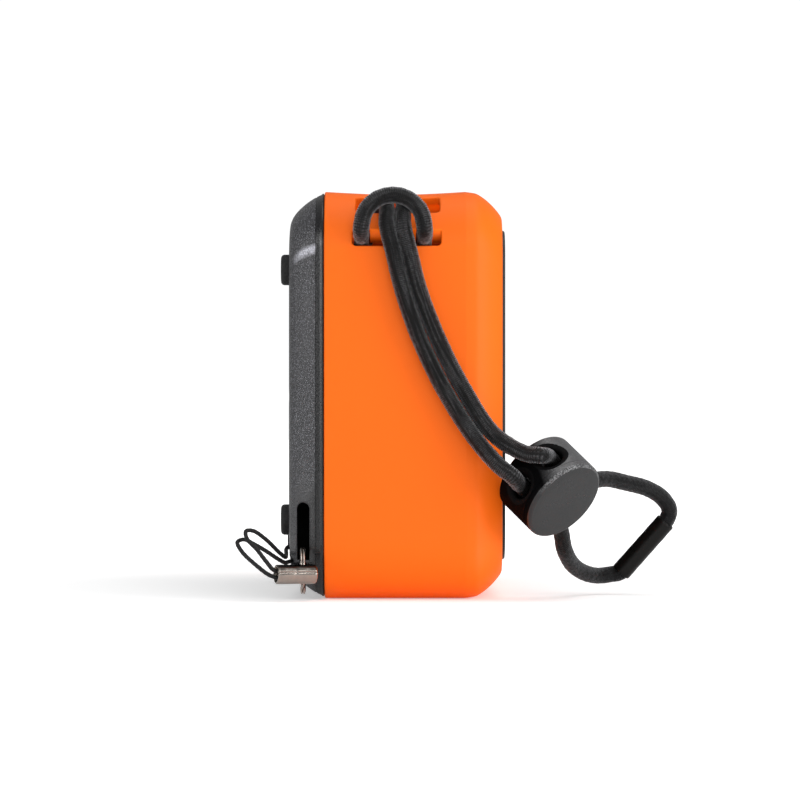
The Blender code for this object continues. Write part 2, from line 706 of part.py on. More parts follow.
def build_plug():
    """A flange in the bay, two prongs, and a tab with an eye for the tether."""
    home = (PLUG_X, Y_REAR, PORT_Z)
    width, height = PLUG_SIZE
    flange = loft_y([
        (y, rounded(PLUG_X, PORT_Z, width - 2 * inset, height - 2 * inset, PLUG_CORNER - inset))
        for y, inset in PLUG_SECTIONS
    ])
    plug = add_piece("port_plug", flange, RUBBER, home, joint_empty("plug_slide", home))
    join(plug, plate(rounded(USB_X, PORT_Z, 6.8, 2.2, 0.6), (20.0, PRONG_END_Y)))
    join(plug, plate(circle(AUX_X, PORT_Z, 1.5, 12), (19.5, PRONG_END_Y)))
    join(plug, plate(rounded(TAB_X, EYE_Z, 11.0, 2.4, 1.15, 3), TAB_Y))
    join(plug, plate(circle(EYE_X, EYE_Z, 2.2, 16), TAB_Y))
    cut(plug, plate(circle(EYE_X, EYE_Z, 1.25, 12), (20.0, 30.0)))


# ---------------------------------------------------------------- split ring, ferrule, tether
RING_WIRE_R = 0.65
FERRULE_AT = RING_CENTRE - Vector((RING_R + 0.35, 0, 0.6))
FERRULE_YAW = math.radians(18)  # its open rear end turns outwards
FERRULE_DIR = Vector((-math.sin(FERRULE_YAW), math.cos(FERRULE_YAW), 0))
FERRULE_SIDE = Vector((math.cos(FERRULE_YAW), math.sin(FERRULE_YAW), 0))
# distance along the ferrule, radius
FERRULE_BODY = [(-3.2, 2.0), (-2.9, 2.3), (6.2, 2.3), (6.5, 2.1)]
FERRULE_BORE = [(-2.4, 1.75), (8.0, 1.75)]
FERRULE_RING_HOLE_R = 1.05

TETHER_R = 0.5
# x, y, z: from the ferrule to the plug's eye, through it, and back
TETHER_POINTS = [
    (-69.7, 24.2, 7.0), (-70.4, 26.6, 7.0), (-71.0, 28.4, 7.4), (-70.6, 30.2, 9.4),
    (-69.0, 32.3, 12.0), (-67.0, 34.8, 14.6), (-65.2, 35.1, 16.3), (-63.6, 33.4, 16.3),
    (-61.0, 30.3, 14.0), (-58.6, 27.5, 11.1), (-56.6, 26.1, 9.9), (-54.2, 25.95, 10.6),
    (-52.2, 25.95, 11.7), (-51.35, 25.2, 12.3), (-51.4, 24.2, 11.9), (-51.9, 23.9, 9.9),
    (-53.4, 24.3, 9.0), (-55.0, 25.5, 8.7), (-56.8, 26.2, 8.6), (-58.6, 27.9, 9.6),
    (-60.2, 30.3, 11.3), (-62.2, 33.2, 13.1), (-64.0, 35.6, 14.3), (-65.8, 37.1, 13.7),
    (-67.4, 36.0, 11.6), (-69.5, 32.5, 8.4), (-70.9, 29.2, 6.1), (-70.4, 26.6, 5.5),
    (-69.7, 24.2, 5.6),
]


def ferrule_tube(sections):
    return skin([
        disc(FERRULE_AT + FERRULE_DIR * along, FERRULE_SIDE, Vector((0, 0, 1)), radius, 16)
        for along, radius in sections
    ])


def build_tether():
    ring = sweep(RING_PATH, RING_WIRE_R, 8, closed=True)
    add_piece("split_ring", ring, NICKEL, RING_CENTRE, joint_empty("ring_spin", RING_CENTRE))
    ferrule = add_piece("tether_ferrule", ferrule_tube(FERRULE_BODY), NICKEL)
    cut(ferrule, ferrule_tube(FERRULE_BORE))
    cut(ferrule, sweep(RING_PATH, FERRULE_RING_HOLE_R, 10, closed=True))
    add_piece("tether_cord", sweep(smooth_path(TETHER_POINTS, 6, 62), TETHER_R, 5), TETHER)


# ---------------------------------------------------------------- cord lock
LOCK_FACE = Vector((-66.0, -39.8, 23.2))  # centre of the lock's closed end
LOCK_AXIS = Vector((-0.566, -0.583, -0.583)).normalized()  # towards the closed end
LOCK_ACROSS = Vector((0.0, -math.sqrt(0.5), math.sqrt(0.5)))  # lower to upper cord hole
LOCK_ACROSS = (LOCK_ACROSS - LOCK_AXIS * LOCK_ACROSS.dot(LOCK_AXIS)).normalized()
LOCK_ALONG = LOCK_AXIS.cross(LOCK_ACROSS)  # along the cord holes, towards the housing's end
LOCK_R = 10.0
LOCK_LENGTH = 12.0
PLUNGER_R = 7.8
LOCK_TRAVEL = 1.8
HOLE_DEPTH = 6.4  # cord holes, from the closed end
HOLE_OFFSET = 4.7
UPPER, LOWER = 1, -1

# depth from the closed end, radius
BARREL = [
    (0, LOCK_R - 0.8), (0.25, LOCK_R - 0.25), (0.8, LOCK_R), (LOCK_LENGTH - 0.6, LOCK_R),
    (LOCK_LENGTH, LOCK_R - 0.5),
]
BARREL_BORE = [(1.2, PLUNGER_R + GAP), (LOCK_LENGTH + 5, PLUNGER_R + GAP)]
PLUNGER = [
    (3.2, PLUNGER_R), (LOCK_LENGTH + 1.3, PLUNGER_R), (LOCK_LENGTH + 1.8, PLUNGER_R - 0.3),
    (LOCK_LENGTH + 2.0, PLUNGER_R - 0.9),
]
SPRING_WELL = [(2.0, 2.0), (9.0, 2.0)]
BARREL_HOLE_R, PLUNGER_HOLE_R = 2.3, 2.15

SPRING_R, SPRING_WIRE_R = 1.45, 0.22
SPRING_DEPTH = (1.75, 8.6)
SPRING_TURNS, SPRING_PER_TURN = 5, 10


def lock_point(across, along, depth):
    """A point of the lock, with depth measured from its closed end."""
    return LOCK_FACE + LOCK_ACROSS * across + LOCK_ALONG * along - LOCK_AXIS * depth


def lock_tube(sections, steps=26):
    return skin([
        disc(lock_point(0, 0, depth), LOCK_ACROSS, LOCK_ALONG, radius, steps)
        for depth, radius in sections
    ])


def lock_hole(side, radius, stretch=0.0, length=30, steps=14):
    """A cord hole through the lock; stretch makes it oval, away from the closed end."""
    section = []
    for i in range(steps):
        across, deeper = arc_point(0, 0, radius, 360 * i / steps)
        if deeper > 1e-9:
            deeper += stretch
        section.append((side * HOLE_OFFSET + across, HOLE_DEPTH + deeper))
    return skin([
        [lock_point(across, along, depth) for across, depth in section]
        for along in (-length / 2, length / 2)
    ])


def spring_path():
    count = SPRING_TURNS * SPRING_PER_TURN
    first, last = SPRING_DEPTH
    path = []
    for i in range(count + 1):
        across, along = arc_point(0, 0, SPRING_R, 360 * i / SPRING_PER_TURN)
        path.append(lock_point(across, along, first + (last - first) * i / count))
    return path


def build_cord_lock():
    centre = lock_point(0, 0, HOLE_DEPTH)
    home = joint_empty("cord_lock_slide", centre)
    barrel = add_piece("cord_lock_barrel", lock_tube(BARREL), LOCK, centre, home)
    cut(barrel, lock_tube(BARREL_BORE))
    for side in (LOWER, UPPER):
        cut(barrel, lock_hole(side, BARREL_HOLE_R))

    mouth = lock_point(0, 0, LOCK_LENGTH)
    plunger = add_piece("cord_lock_plunger", lock_tube(PLUNGER), LOCK, mouth, home)
    cut(plunger, lock_tube(SPRING_WELL, 16))
    for side in (LOWER, UPPER):
        cut(plunger, lock_hole(side, PLUNGER_HOLE_R, stretch=LOCK_TRAVEL + 0.3))

    spring = sweep(spring_path(), SPRING_WIRE_R, 4)
    add_piece("cord_lock_spring", spring, STEEL, lock_point(0, 0, 1.5), home)


# ---------------------------------------------------------------- bungee cord and sleeve
# One cord, closed on itself inside the sleeve. Its bight goes through both windows of the
# strap bar and over its own two strands (a lark's head). Both strands pass the lock.
# Tables are (x, y, z) in the order in which the cord runs.
CORD_R = 1.75
SLEEVE_R, SLEEVE_BORE_R = 2.42, 2.0
SLEEVE_LENGTH = 15.8
STRAP_PIVOT = (-63.3, 0.0, 88.85)
STRAND_X = -68.2
FRONT_STRAND = [  # from the upper cord hole up to the bar
    (-72.4, -33.8, 34.2), (-71.4, -30.4, 34.6), (-69.3, -23.0, 39.1), (-68.3, -15.5, 50.4),
    (STRAND_X, -9.9, 61.6), (STRAND_X, -5.6, 72.8), (STRAND_X, -3.2, 82.2),
    (STRAND_X, -1.8, 88.1),
]
REAR_STRAND = [  # from the bar down to the lower cord hole
    (STRAND_X, 2.0, 88.1), (STRAND_X, 0.6, 82.2), (STRAND_X, -1.7, 72.8),
    (STRAND_X, -5.6, 61.6), (-68.3, -10.9, 50.4), (-69.3, -17.9, 39.1), (-71.3, -24.0, 31.9),
    (-71.9, -27.4, 29.2),
]
LOOP_LOWER = [  # from the lower cord hole to the sleeve
    (-49.8, -37.6, 17.2), (-44.5, -39.6, 13.4), (-39.0, -41.9, 9.6), (-34.0, -45.4, 6.2),
    (-31.0, -49.2, 4.3), (-30.2, -52.6, 4.1),
]
LOOP_UPPER = [  # from the sleeve to the upper cord hole
    (-33.8, -66.3, 20.4), (-35.2, -64.6, 23.3), (-38.0, -60.8, 25.7), (-42.0, -55.4, 27.2),
    (-46.0, -50.6, 27.9), (-50.6, -46.2, 27.2),
]
SLEEVE_TOP, SLEEVE_LOW = Vector((-33.0, -65.4, 17.6)), Vector((-30.5, -54.7, 5.3))
HOLE_RUN = (8.8, 3.0, -3.0, -9.5)  # places along a cord hole, strand side first

# the bight's arch over the strands, in a plane across X
ARCH_X, ARCH_Y, ARCH_Z, ARCH_R = -68.5, 0.6, 87.7, 7.4
# From the strand outside the bar, over it, behind it and out below into the arch's leg:
# x, share of the way in Y from strand to leg, z
BAR_WRAP = [
    (-66.8, 0.0, 90.6), (-64.9, 0.0, 92.5), (-62.5, 0.05, 93.3), (-60.3, 0.2, 92.1),
    (-59.2, 0.42, 89.8), (-60.2, 0.68, 87.0), (-62.4, 0.9, 84.95), (-64.9, 1.0, 85.2),
    (-67.1, 1.0, 86.6),
]


def around_bar(strand_y, leg_y):
    return [(x, strand_y + (leg_y - strand_y) * share, z) for x, share, z in BAR_WRAP]


def cord_points():
    points = FRONT_STRAND + around_bar(-1.8, ARCH_Y - ARCH_R)
    for angle in range(180, -1, -30):
        points.append((ARCH_X, *arc_point(ARCH_Y, ARCH_Z, ARCH_R, angle)))
    points += around_bar(2.3, ARCH_Y + ARCH_R)[::-1]
    points += REAR_STRAND
    points += [lock_point(LOWER * HOLE_OFFSET, along, HOLE_DEPTH) for along in HOLE_RUN]
    points += LOOP_LOWER
    points += [SLEEVE_LOW.lerp(SLEEVE_TOP, share) for share in (0, 0.33, 0.67, 1)]
    points += LOOP_UPPER
    points += [lock_point(UPPER * HOLE_OFFSET, along, HOLE_DEPTH) for along in HOLE_RUN[::-1]]
    return points


def build_strap():
    home = joint_empty("strap_swing", STRAP_PIVOT)
    cord = sweep(smooth_path(cord_points(), 8, 150, closed=True), CORD_R, 6, closed=True)
    add_piece("bungee_cord", cord, CORD, STRAP_PIVOT, home)

    direction = (SLEEVE_TOP - SLEEVE_LOW).normalized()
    across = direction.orthogonal().normalized()
    middle = (SLEEVE_TOP + SLEEVE_LOW) / 2
    low, top = (middle + direction * (end * SLEEVE_LENGTH / 2) for end in (-1, 1))
    # up the outside and back down the bore
    rings = [
        disc(centre, across, direction.cross(across), radius, 20)
        for centre, radius in (
            (low, SLEEVE_R), (top, SLEEVE_R), (top, SLEEVE_BORE_R), (low, SLEEVE_BORE_R),
        )
    ]
    add_piece("cord_sleeve", skin(rings, closed=True), SLEEVE, middle, home)


# ---------------------------------------------------------------- cables
CABLE_R = 0.8
# x, y, z
DRIVER_CABLE = [
    (-44.0, 14.1, 55.0), (-46.5, 9.0, 57.0), (-49.0, 0.0, 59.0), (-51.5, -9.0, 60.5),
    (-53.6, -17.4, 61.0),
]
BATTERY_CABLE = [
    (-15.7, 9.6, 24.0), (-17.2, 9.6, 27.0), (-18.6, 10.0, 32.0), (-21.0, 11.6, 37.0),
    (-25.0, 13.9, 39.5),
]


def build_cable(name, points):
    add_piece(name, sweep(smooth_path(points, 6, 14), CABLE_R, 6), WIRE)


# ---------------------------------------------------------------- assembly
build_front_housing()
build_rear_housing()
build_gasket()
build_grille()
build_driver_and_radiator()
build_main_board()
build_battery()
build_keys()
for index, (foot_x, foot_z) in enumerate(FEET, 1):
    build_foot(index, foot_x, foot_z)
for index, (screw_x, screw_z) in enumerate(SCREWS, 1):
    build_screw(index, screw_x, screw_z)
build_plug()
build_tether()
build_cord_lock()
build_strap()
build_cable("driver_cable", DRIVER_CABLE)
build_cable("battery_cable", BATTERY_CABLE)

bpy.context.view_layer.update()
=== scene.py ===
"""Portable bluetooth speaker: the looks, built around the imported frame.

The housing is WIDTH along X and HEIGHT along Z and stands on the floor. The grille faces -Y, the
feet, screws and port plug face +Y, and the keys face +Z. A bungee strap with a cord lock and a
split ring hang at the -X end, which faces the camera.

Everything is placed from the frame: boxes of CAD nodes and the joints' places and axes.
Lengths of shapes are in millimetres until an object is made; MM turns them into metres.
Shader scales and bump depths are in metres throughout.
"""

import json
import math

import bmesh
import bpy
from mathutils import Matrix, Vector


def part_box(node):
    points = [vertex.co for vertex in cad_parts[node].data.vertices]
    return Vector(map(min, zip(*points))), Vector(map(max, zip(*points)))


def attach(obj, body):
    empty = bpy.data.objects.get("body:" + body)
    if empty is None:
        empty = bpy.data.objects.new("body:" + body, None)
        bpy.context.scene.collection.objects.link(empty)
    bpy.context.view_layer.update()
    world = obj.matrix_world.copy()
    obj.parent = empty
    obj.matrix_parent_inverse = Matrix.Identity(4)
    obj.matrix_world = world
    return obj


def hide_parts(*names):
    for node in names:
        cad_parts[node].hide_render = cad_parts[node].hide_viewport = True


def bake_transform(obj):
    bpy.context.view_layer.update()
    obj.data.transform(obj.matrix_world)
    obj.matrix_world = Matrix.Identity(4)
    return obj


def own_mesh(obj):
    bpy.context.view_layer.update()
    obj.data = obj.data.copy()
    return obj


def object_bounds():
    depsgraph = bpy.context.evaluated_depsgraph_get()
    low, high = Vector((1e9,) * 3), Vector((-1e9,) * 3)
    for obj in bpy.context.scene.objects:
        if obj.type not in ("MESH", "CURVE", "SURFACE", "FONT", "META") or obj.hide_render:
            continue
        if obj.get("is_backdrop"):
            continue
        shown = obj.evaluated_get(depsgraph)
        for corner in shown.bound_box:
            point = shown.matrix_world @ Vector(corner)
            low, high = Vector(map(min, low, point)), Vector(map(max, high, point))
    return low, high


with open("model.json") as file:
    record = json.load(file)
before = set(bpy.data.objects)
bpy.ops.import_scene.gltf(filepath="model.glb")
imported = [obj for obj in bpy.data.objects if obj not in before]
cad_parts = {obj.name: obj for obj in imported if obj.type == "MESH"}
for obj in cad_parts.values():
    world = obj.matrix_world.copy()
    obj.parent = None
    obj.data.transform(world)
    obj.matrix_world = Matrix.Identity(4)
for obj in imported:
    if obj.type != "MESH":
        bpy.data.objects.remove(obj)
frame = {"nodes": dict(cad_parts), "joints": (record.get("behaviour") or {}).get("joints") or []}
CAD_LOW, CAD_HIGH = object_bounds()

MM = 0.001


def mm(*values):
    """Millimetres to metres."""
    return tuple(value * MM for value in values)


def box_mm(name):
    low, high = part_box(name)
    return low / MM, high / MM


def middle(box, axes):
    """Coordinates of a box's middle along the named axes."""
    return tuple((getattr(box[0], axis) + getattr(box[1], axis)) / 2 for axis in axes)


def joint(name):
    return next(j for j in frame["joints"] if j["name"] == name)


SHELL_LOW, SHELL_HIGH = box_mm("front_housing")
REAR_HIGH = box_mm("rear_housing")[1]
GRILLE_LOW, GRILLE_HIGH = box_mm("front_grille")
WIDTH = SHELL_HIGH.x - SHELL_LOW.x
HEIGHT = SHELL_HIGH.z - SHELL_LOW.z
HALF = WIDTH / 2
Y_FRONT, Y_PART, Y_REAR = SHELL_LOW.y, SHELL_HIGH.y, REAR_HIGH.y  # Y_PART: parting plane
MID_Z = HEIGHT / 2
CORNER_R = 14.0
TOP_DIP = 0.6  # how far the top sinks in the middle of its depth
WALL = 2.4
GAP = 0.3  # clearance between fitted parts

ORANGE = (0.955, 0.144, 0.002)
DARK = (0.044, 0.044, 0.049)


# ---------------------------------------------------------------- shader graphs
class Value:
    """A node's output. Arithmetic on it adds one Math node for each operation."""

    def __init__(self, graph, socket):
        self.graph = graph
        self.socket = socket

    def math(self, operation, *others):
        inputs = dict(enumerate((self, *others)))
        return self.graph.add("ShaderNodeMath", inputs, operation=operation)

    def __add__(self, other):
        return self.math("ADD", other)

    def __sub__(self, other):
        return self.math("SUBTRACT", other)

    def __mul__(self, other):
        return self.math("MULTIPLY", other)

    def __mod__(self, other):
        return self.math("FLOORED_MODULO", other)

    def __pow__(self, other):
        return self.math("POWER", other)

    def __abs__(self):
        return self.math("ABSOLUTE")

    def sine(self):
        return self.math("SINE")

    def mul_add(self, factor, plus):
        return self.math("MULTIPLY_ADD", factor, plus)

    def ramp(self, over, to=(0.0, 1.0)):
        """Maps the span over to the span to, clamped at both ends."""
        return self.graph.add("ShaderNodeMapRange", dict(enumerate((self, *over, *to))))

    def mix(self, zero, one):
        """Blends two colours: zero where this value is 0, one where it is 1."""
        inputs = {0: self, 6: zero, 7: one}
        return self.graph.add("ShaderNodeMix", inputs, out=2, data_type="RGBA")

    def pick(self, zero, one):
        """Blends two numbers in the same way."""
        return self.graph.add("ShaderNodeMix", {0: self, 2: zero, 3: one})


class Graph:
    """A node tree, with short ways to add nodes. Inputs are keyed by name or index."""

    def __init__(self, tree):
        self.tree = tree

    def put(self, socket, value):
        """Sets an input to a number, a vector, a colour or a Value."""
        if isinstance(value, Value):
            self.tree.links.new(value.socket, socket)
        elif isinstance(value, tuple) and len(value) == 3 and socket.type == "RGBA":
            socket.default_value = (*value, 1.0)
        else:
            socket.default_value = value

    def add(self, kind, inputs=(), out=0, **props):
        new = self.tree.nodes.new(kind)
        for name, value in props.items():
            setattr(new, name, value)
        for key, value in dict(inputs).items():
            self.put(new.inputs[key], value)
        return Value(self, new.outputs[out])

    def shade(self, **inputs):
        """Sets inputs of the Principled shader; underscores stand for spaces."""
        shader = self.tree.nodes["Principled BSDF"]
        for name, value in inputs.items():
            self.put(shader.inputs[name.replace("_", " ")], value)

    def coords(self):
        return self.add("ShaderNodeTexCoord", out="Object")

    def split(self, vector):
        """X, Y and Z of a vector."""
        first = self.add("ShaderNodeSeparateXYZ", {0: vector})
        return [Value(self, socket) for socket in first.socket.node.outputs]

    def noise(self, at, scale, detail=2.0, roughness=0.5, distortion=0.0):
        inputs = {"Scale": scale, "Detail": detail, "Roughness": roughness}
        inputs.update({"Distortion": distortion, "Vector": at})
        return self.add("ShaderNodeTexNoise", inputs)

    def cells(self, at, scale):
        """Distance to the nearest Voronoi cell point."""
        return self.add("ShaderNodeTexVoronoi", {"Scale": scale, "Vector": at}, out="Distance")

    def bump(self, height, strength, distance):
        inputs = {"Strength": strength, "Distance": distance, "Height": height}
        return self.add("ShaderNodeBump", inputs)


M = {}


def new_material(name):
    M[name] = bpy.data.materials.new(name)
    M[name].use_nodes = True
    return Graph(M[name].node_tree)


def scaled(color, factor):
    return tuple(min(1.0, part * factor) for part in color)


# ---------------------------------------------------------------- materials
def moulded(name, color, rough, grain=3200.0, depth=0.00002, strength=0.35, spread=0.05,
            drift=0.06, specular=0.5, coat=0.0, pits=None):
    """Moulded plastic or rubber: fine grain, slow drift in tone, uneven gloss.

    grain and pits are texture scales, depth and strength set the bump, spread is the
    variation of roughness and drift the variation of tone.
    """
    graph = new_material(name)
    at = graph.coords()
    fine = graph.noise(at, scale=grain, detail=3.0, roughness=0.6)
    slow = graph.noise(at, scale=55.0, detail=3.0)
    smear = graph.noise(at, scale=300.0, detail=4.0, roughness=0.6)
    gloss = smear * 0.5 + fine * 0.5  # equal parts of broad and fine
    height = fine
    if pits:
        pit_share = 1.4  # against the grain
        height = fine + graph.cells(at, scale=pits) * pit_share
    graph.shade(
        Base_Color=slow.mix(scaled(color, 1 - drift), scaled(color, 1 + drift)),
        Roughness=gloss.ramp(over=(0.3, 0.7), to=(rough - spread, rough + spread)),
        Normal=graph.bump(height, strength=strength, distance=depth),
        Specular_IOR_Level=specular,
    )
    if coat:
        graph.shade(Coat_Weight=coat, Coat_Roughness=0.25)
    return graph


def metal(name, color, rough, brushed=0.0, depth=0.00001, strength=0.3, axis=(1, 1, 1),
          tarnish=0.15, painted_top_reflection=0.0):
    """Plated or bare metal: streaks along an axis, faint marks, tone that drifts a little.

    brushed is the streaks' share of roughness, tarnish how much the marks darken, and
    oxide how much faces that look up are darkened, as a painted dark reflection.
    """
    graph = new_material(name)
    at = graph.coords()
    stretched = graph.add("ShaderNodeMapping", {"Vector": at, "Scale": axis})
    streaks = graph.noise(stretched, scale=2600.0, detail=4.0, roughness=0.7)
    marks = graph.noise(at, scale=420.0, detail=5.0, roughness=0.65, distortion=0.4)
    tone = marks.ramp(over=(0.35, 0.7)).mix(color, scaled(color, 1.0 - tarnish))
    if painted_top_reflection:
        # painted dark reflection: faces that look up are darkened almost to black
        up = graph.split(graph.add("ShaderNodeNewGeometry", out="Normal"))[2]
        ragged = marks.mul_add(factor=0.25, plus=up)
        black = scaled(color, 0.03)
        tone = ragged.ramp(over=(0.62, 0.74), to=(0.0, painted_top_reflection)).mix(tone, black)
    mark_gloss, mean_gloss = 0.12, 0.06  # the marks' share of roughness, and their mean
    graph.shade(
        Base_Color=tone,
        Metallic=1.0,
        Roughness=streaks * brushed + marks * mark_gloss + (rough - mean_gloss),
        Normal=graph.bump(streaks, strength=strength, distance=depth),
    )


def half_waves(value):
    """One hump for each unit of the value."""
    return abs((value * math.pi).sine())


def checker(first, second):
    """0 and 1 in turn over unit squares."""
    return (first.math("FLOOR") + second.math("FLOOR")) % 2.0


def braid(name, dark, light, around, per_mm, fuzz, rough, specks, depth, strength=0.8,
          ribs=0.0, fibre=(0.3, 0.3, 0.31), specular=0.3):
    """Braided sheath on UVs (u in mm along, v once round): two crossing sets of yarns that
    pass over and under, each with filaments, and stray light fibres on a painted rim highlight.

    around and per_mm count the yarns, ribs is the pitch of cross ribs in mm, fuzz is the
    sheen, and specks and fibre are the strength and colour of the stray light fibres, which
    are painted brightest towards the cord's rim, and faintly along streaks, as a highlight.
    """
    graph = new_material(name)
    along, around_share, _ = graph.split(graph.add("ShaderNodeUVMap", uv_map="UVMap"))
    lengthways = along * per_mm
    crossways = around_share * float(around)
    left, right = lengthways + crossways, lengthways - crossways  # the two sets of yarns
    left_hump, right_hump = half_waves(left), half_waves(right)
    over = checker(left, right)

    def yarn(across, lengthwise):
        return across**0.6 * lengthwise.mul_add(factor=0.5, plus=0.5)

    height = over.pick(yarn(left_hump, right_hump), yarn(right_hump, left_hump))
    filament = math.pi * 8  # four filaments to a half turn of the yarn's wave
    fibres = over.pick((left * filament).sine(), (right * filament).sine())
    at = graph.coords()
    grit = graph.noise(at, scale=5200.0, detail=3.0, roughness=0.7)
    stray = graph.noise(at, scale=2500.0, roughness=0.8, distortion=1.2)

    # streaks: noise on a cylinder, drawn out along the cord
    turn = around_share * (2 * math.pi)
    drawn, cylinder = 0.07, 1.7
    wrapped = graph.add("ShaderNodeCombineXYZ", {
        0: along * drawn,
        1: turn.math("COSINE") * cylinder,
        2: turn.sine() * cylinder,
    })
    streak = graph.noise(wrapped, scale=1.6).ramp(over=(0.42, 0.62))
    # painted rim highlight: towards the cord's silhouette its colour turns to that of the light
    # fibres
    facing = graph.add("ShaderNodeLayerWeight", {"Blend": 0.5}, out="Facing")
    rim = facing.ramp(over=(0.28, 0.72))
    tone = height.ramp(over=(0.15, 0.95)).mix(dark, light)
    if ribs:
        rib = (along * (math.pi * 2 / ribs)).sine()
        stray = rib.mul_add(factor=0.1, plus=stray)
    streak_light = 0.16
    lit = rim.math("MAXIMUM", streak * streak_light)
    # painted rim highlight: weaker, with fewer light fibres, on the part of the cord nearer the
    # housing
    rim_shine_fade = graph.split(at)[0].ramp(over=(-0.064, -0.054), to=(specks, specks * 0.4))
    painted_rim_shine = stray.ramp(over=(0.42, 0.64), to=(0.05, 1.0)) * (lit * rim_shine_fade)
    relief = fibres.mul_add(factor=0.07, plus=height)
    relief = grit.mul_add(factor=0.25, plus=relief)
    if ribs:
        relief = rib.mul_add(factor=0.3, plus=relief)
    graph.shade(
        Base_Color=painted_rim_shine.mix(tone, fibre),
        Normal=graph.bump(relief, strength=strength, distance=depth),
        Roughness=rough,
        Specular_IOR_Level=specular,
        Sheen_Weight=fuzz,
        Sheen_Roughness=0.35,
    )


moulded("orange_shell", ORANGE, rough=0.5, grain=3600.0, depth=0.000012, strength=0.22,
        drift=0.015, specular=0.22)
moulded("black_plastic", (0.02, 0.02, 0.022), rough=0.45, grain=2800.0)
moulded("lock_plastic", (0.0165, 0.0165, 0.0175), rough=0.3, grain=2400.0, depth=0.00006,
        strength=0.45, specular=0.42)
moulded("black_rubber", (0.017, 0.017, 0.018), rough=0.68, grain=1900.0, depth=0.00004,
        strength=0.4, specular=0.4)
moulded("sleeve_gloss", (0.004, 0.0035, 0.003), rough=0.3, grain=900.0, depth=0.00003,
        strength=0.22, spread=0.06, specular=0.22, coat=0.04)
moulded("ferrite", (0.035, 0.035, 0.037), rough=0.62, grain=1500.0, depth=0.00006, pits=1600.0)
moulded("cone_paper", (0.018, 0.018, 0.02), rough=0.78, grain=1200.0, depth=0.00008,
        strength=0.6, drift=0.2)
moulded("light_pipe", (0.8, 0.83, 0.86), rough=0.16, grain=800.0, depth=0.00001,
        strength=0.2, drift=0.03).shade(Transmission_Weight=0.5)
moulded("cell_wrap", (0.02, 0.1, 0.36), rough=0.3, grain=500.0, depth=0.00004,
        strength=0.25, drift=0.12, coat=0.3)
metal("nickel", (0.6, 0.535, 0.485), rough=0.16, brushed=0.14, tarnish=0.3)
metal("ferrule_nickel", (0.42, 0.375, 0.335), rough=0.17, brushed=0.08, depth=0.00002,
      tarnish=0.16, painted_top_reflection=0.9)
metal("zinc_steel", (0.5, 0.5, 0.52), rough=0.3, brushed=0.2, axis=(1, 0.15, 1))
metal("copper", (0.75, 0.32, 0.16), rough=0.3, brushed=0.2, axis=(0.1, 1, 0.1))
braid("braided_cord", (0.0008, 0.0008, 0.0009), (0.006, 0.006, 0.0066), around=14, per_mm=2.0,
      fuzz=0.03, rough=0.5, specks=1.0, depth=0.0002, strength=1.0, ribs=0.45,
      fibre=(0.5, 0.5, 0.52), specular=0.22)
braid("tether_cord", (0.004, 0.004, 0.004), (0.014, 0.014, 0.015), around=6, per_mm=1.6,
      fuzz=0.12, rough=0.55, specks=0.1, depth=0.00006)


def lock_flank():
    """The lock's barrel: painted shade towards +Y, where it is black, and painted light away
    from it, where it is greyer and grainier.
    """
    graph = new_material("lock_flank")
    at = graph.coords()
    _, y, z = graph.split(at)
    grain = graph.noise(at, scale=2400.0, detail=3.0, roughness=0.6)
    # the change from painted shade to painted light leans with height
    away = z.mul_add(factor=-0.35, plus=y).ramp(over=mm(-48.5, -44.0), to=(1.0, 0.0))
    tone = away.mix((0.0016, 0.0016, 0.0018), (0.062, 0.062, 0.064))
    # painted light: light grainy specks on the greyer side
    wear_and_painted_light = grain.ramp(over=(0.5, 0.72)) * away
    graph.shade(
        Base_Color=wear_and_painted_light.mix(tone, (0.12, 0.12, 0.124)),
        Roughness=away.ramp(over=(0.0, 1.0), to=(0.6, 0.38)),
        Specular_IOR_Level=away.ramp(over=(0.0, 1.0), to=(0.02, 0.42)),
        Normal=graph.bump(grain, strength=0.5, distance=0.00008),
    )


def lock_rim():
    """The grainy rim of the lock's closed end, with a speckled painted highlight on its upper
    part.
    """
    graph = new_material("lock_rim")
    at = graph.coords()
    grain = graph.noise(at, scale=2600.0, detail=3.0, roughness=0.6)
    # painted highlight: light specks on the upper part of the rim
    painted_crescent = grain.ramp(over=(0.42, 0.6)) * graph.split(at)[2].ramp(over=mm(25, 30))
    graph.shade(
        Base_Color=painted_crescent.mix((0.0165, 0.0165, 0.0175), (0.2, 0.2, 0.205)),
        Roughness=0.3,
        Specular_IOR_Level=0.5,
        Normal=graph.bump(grain, strength=0.4, distance=0.00005),
    )


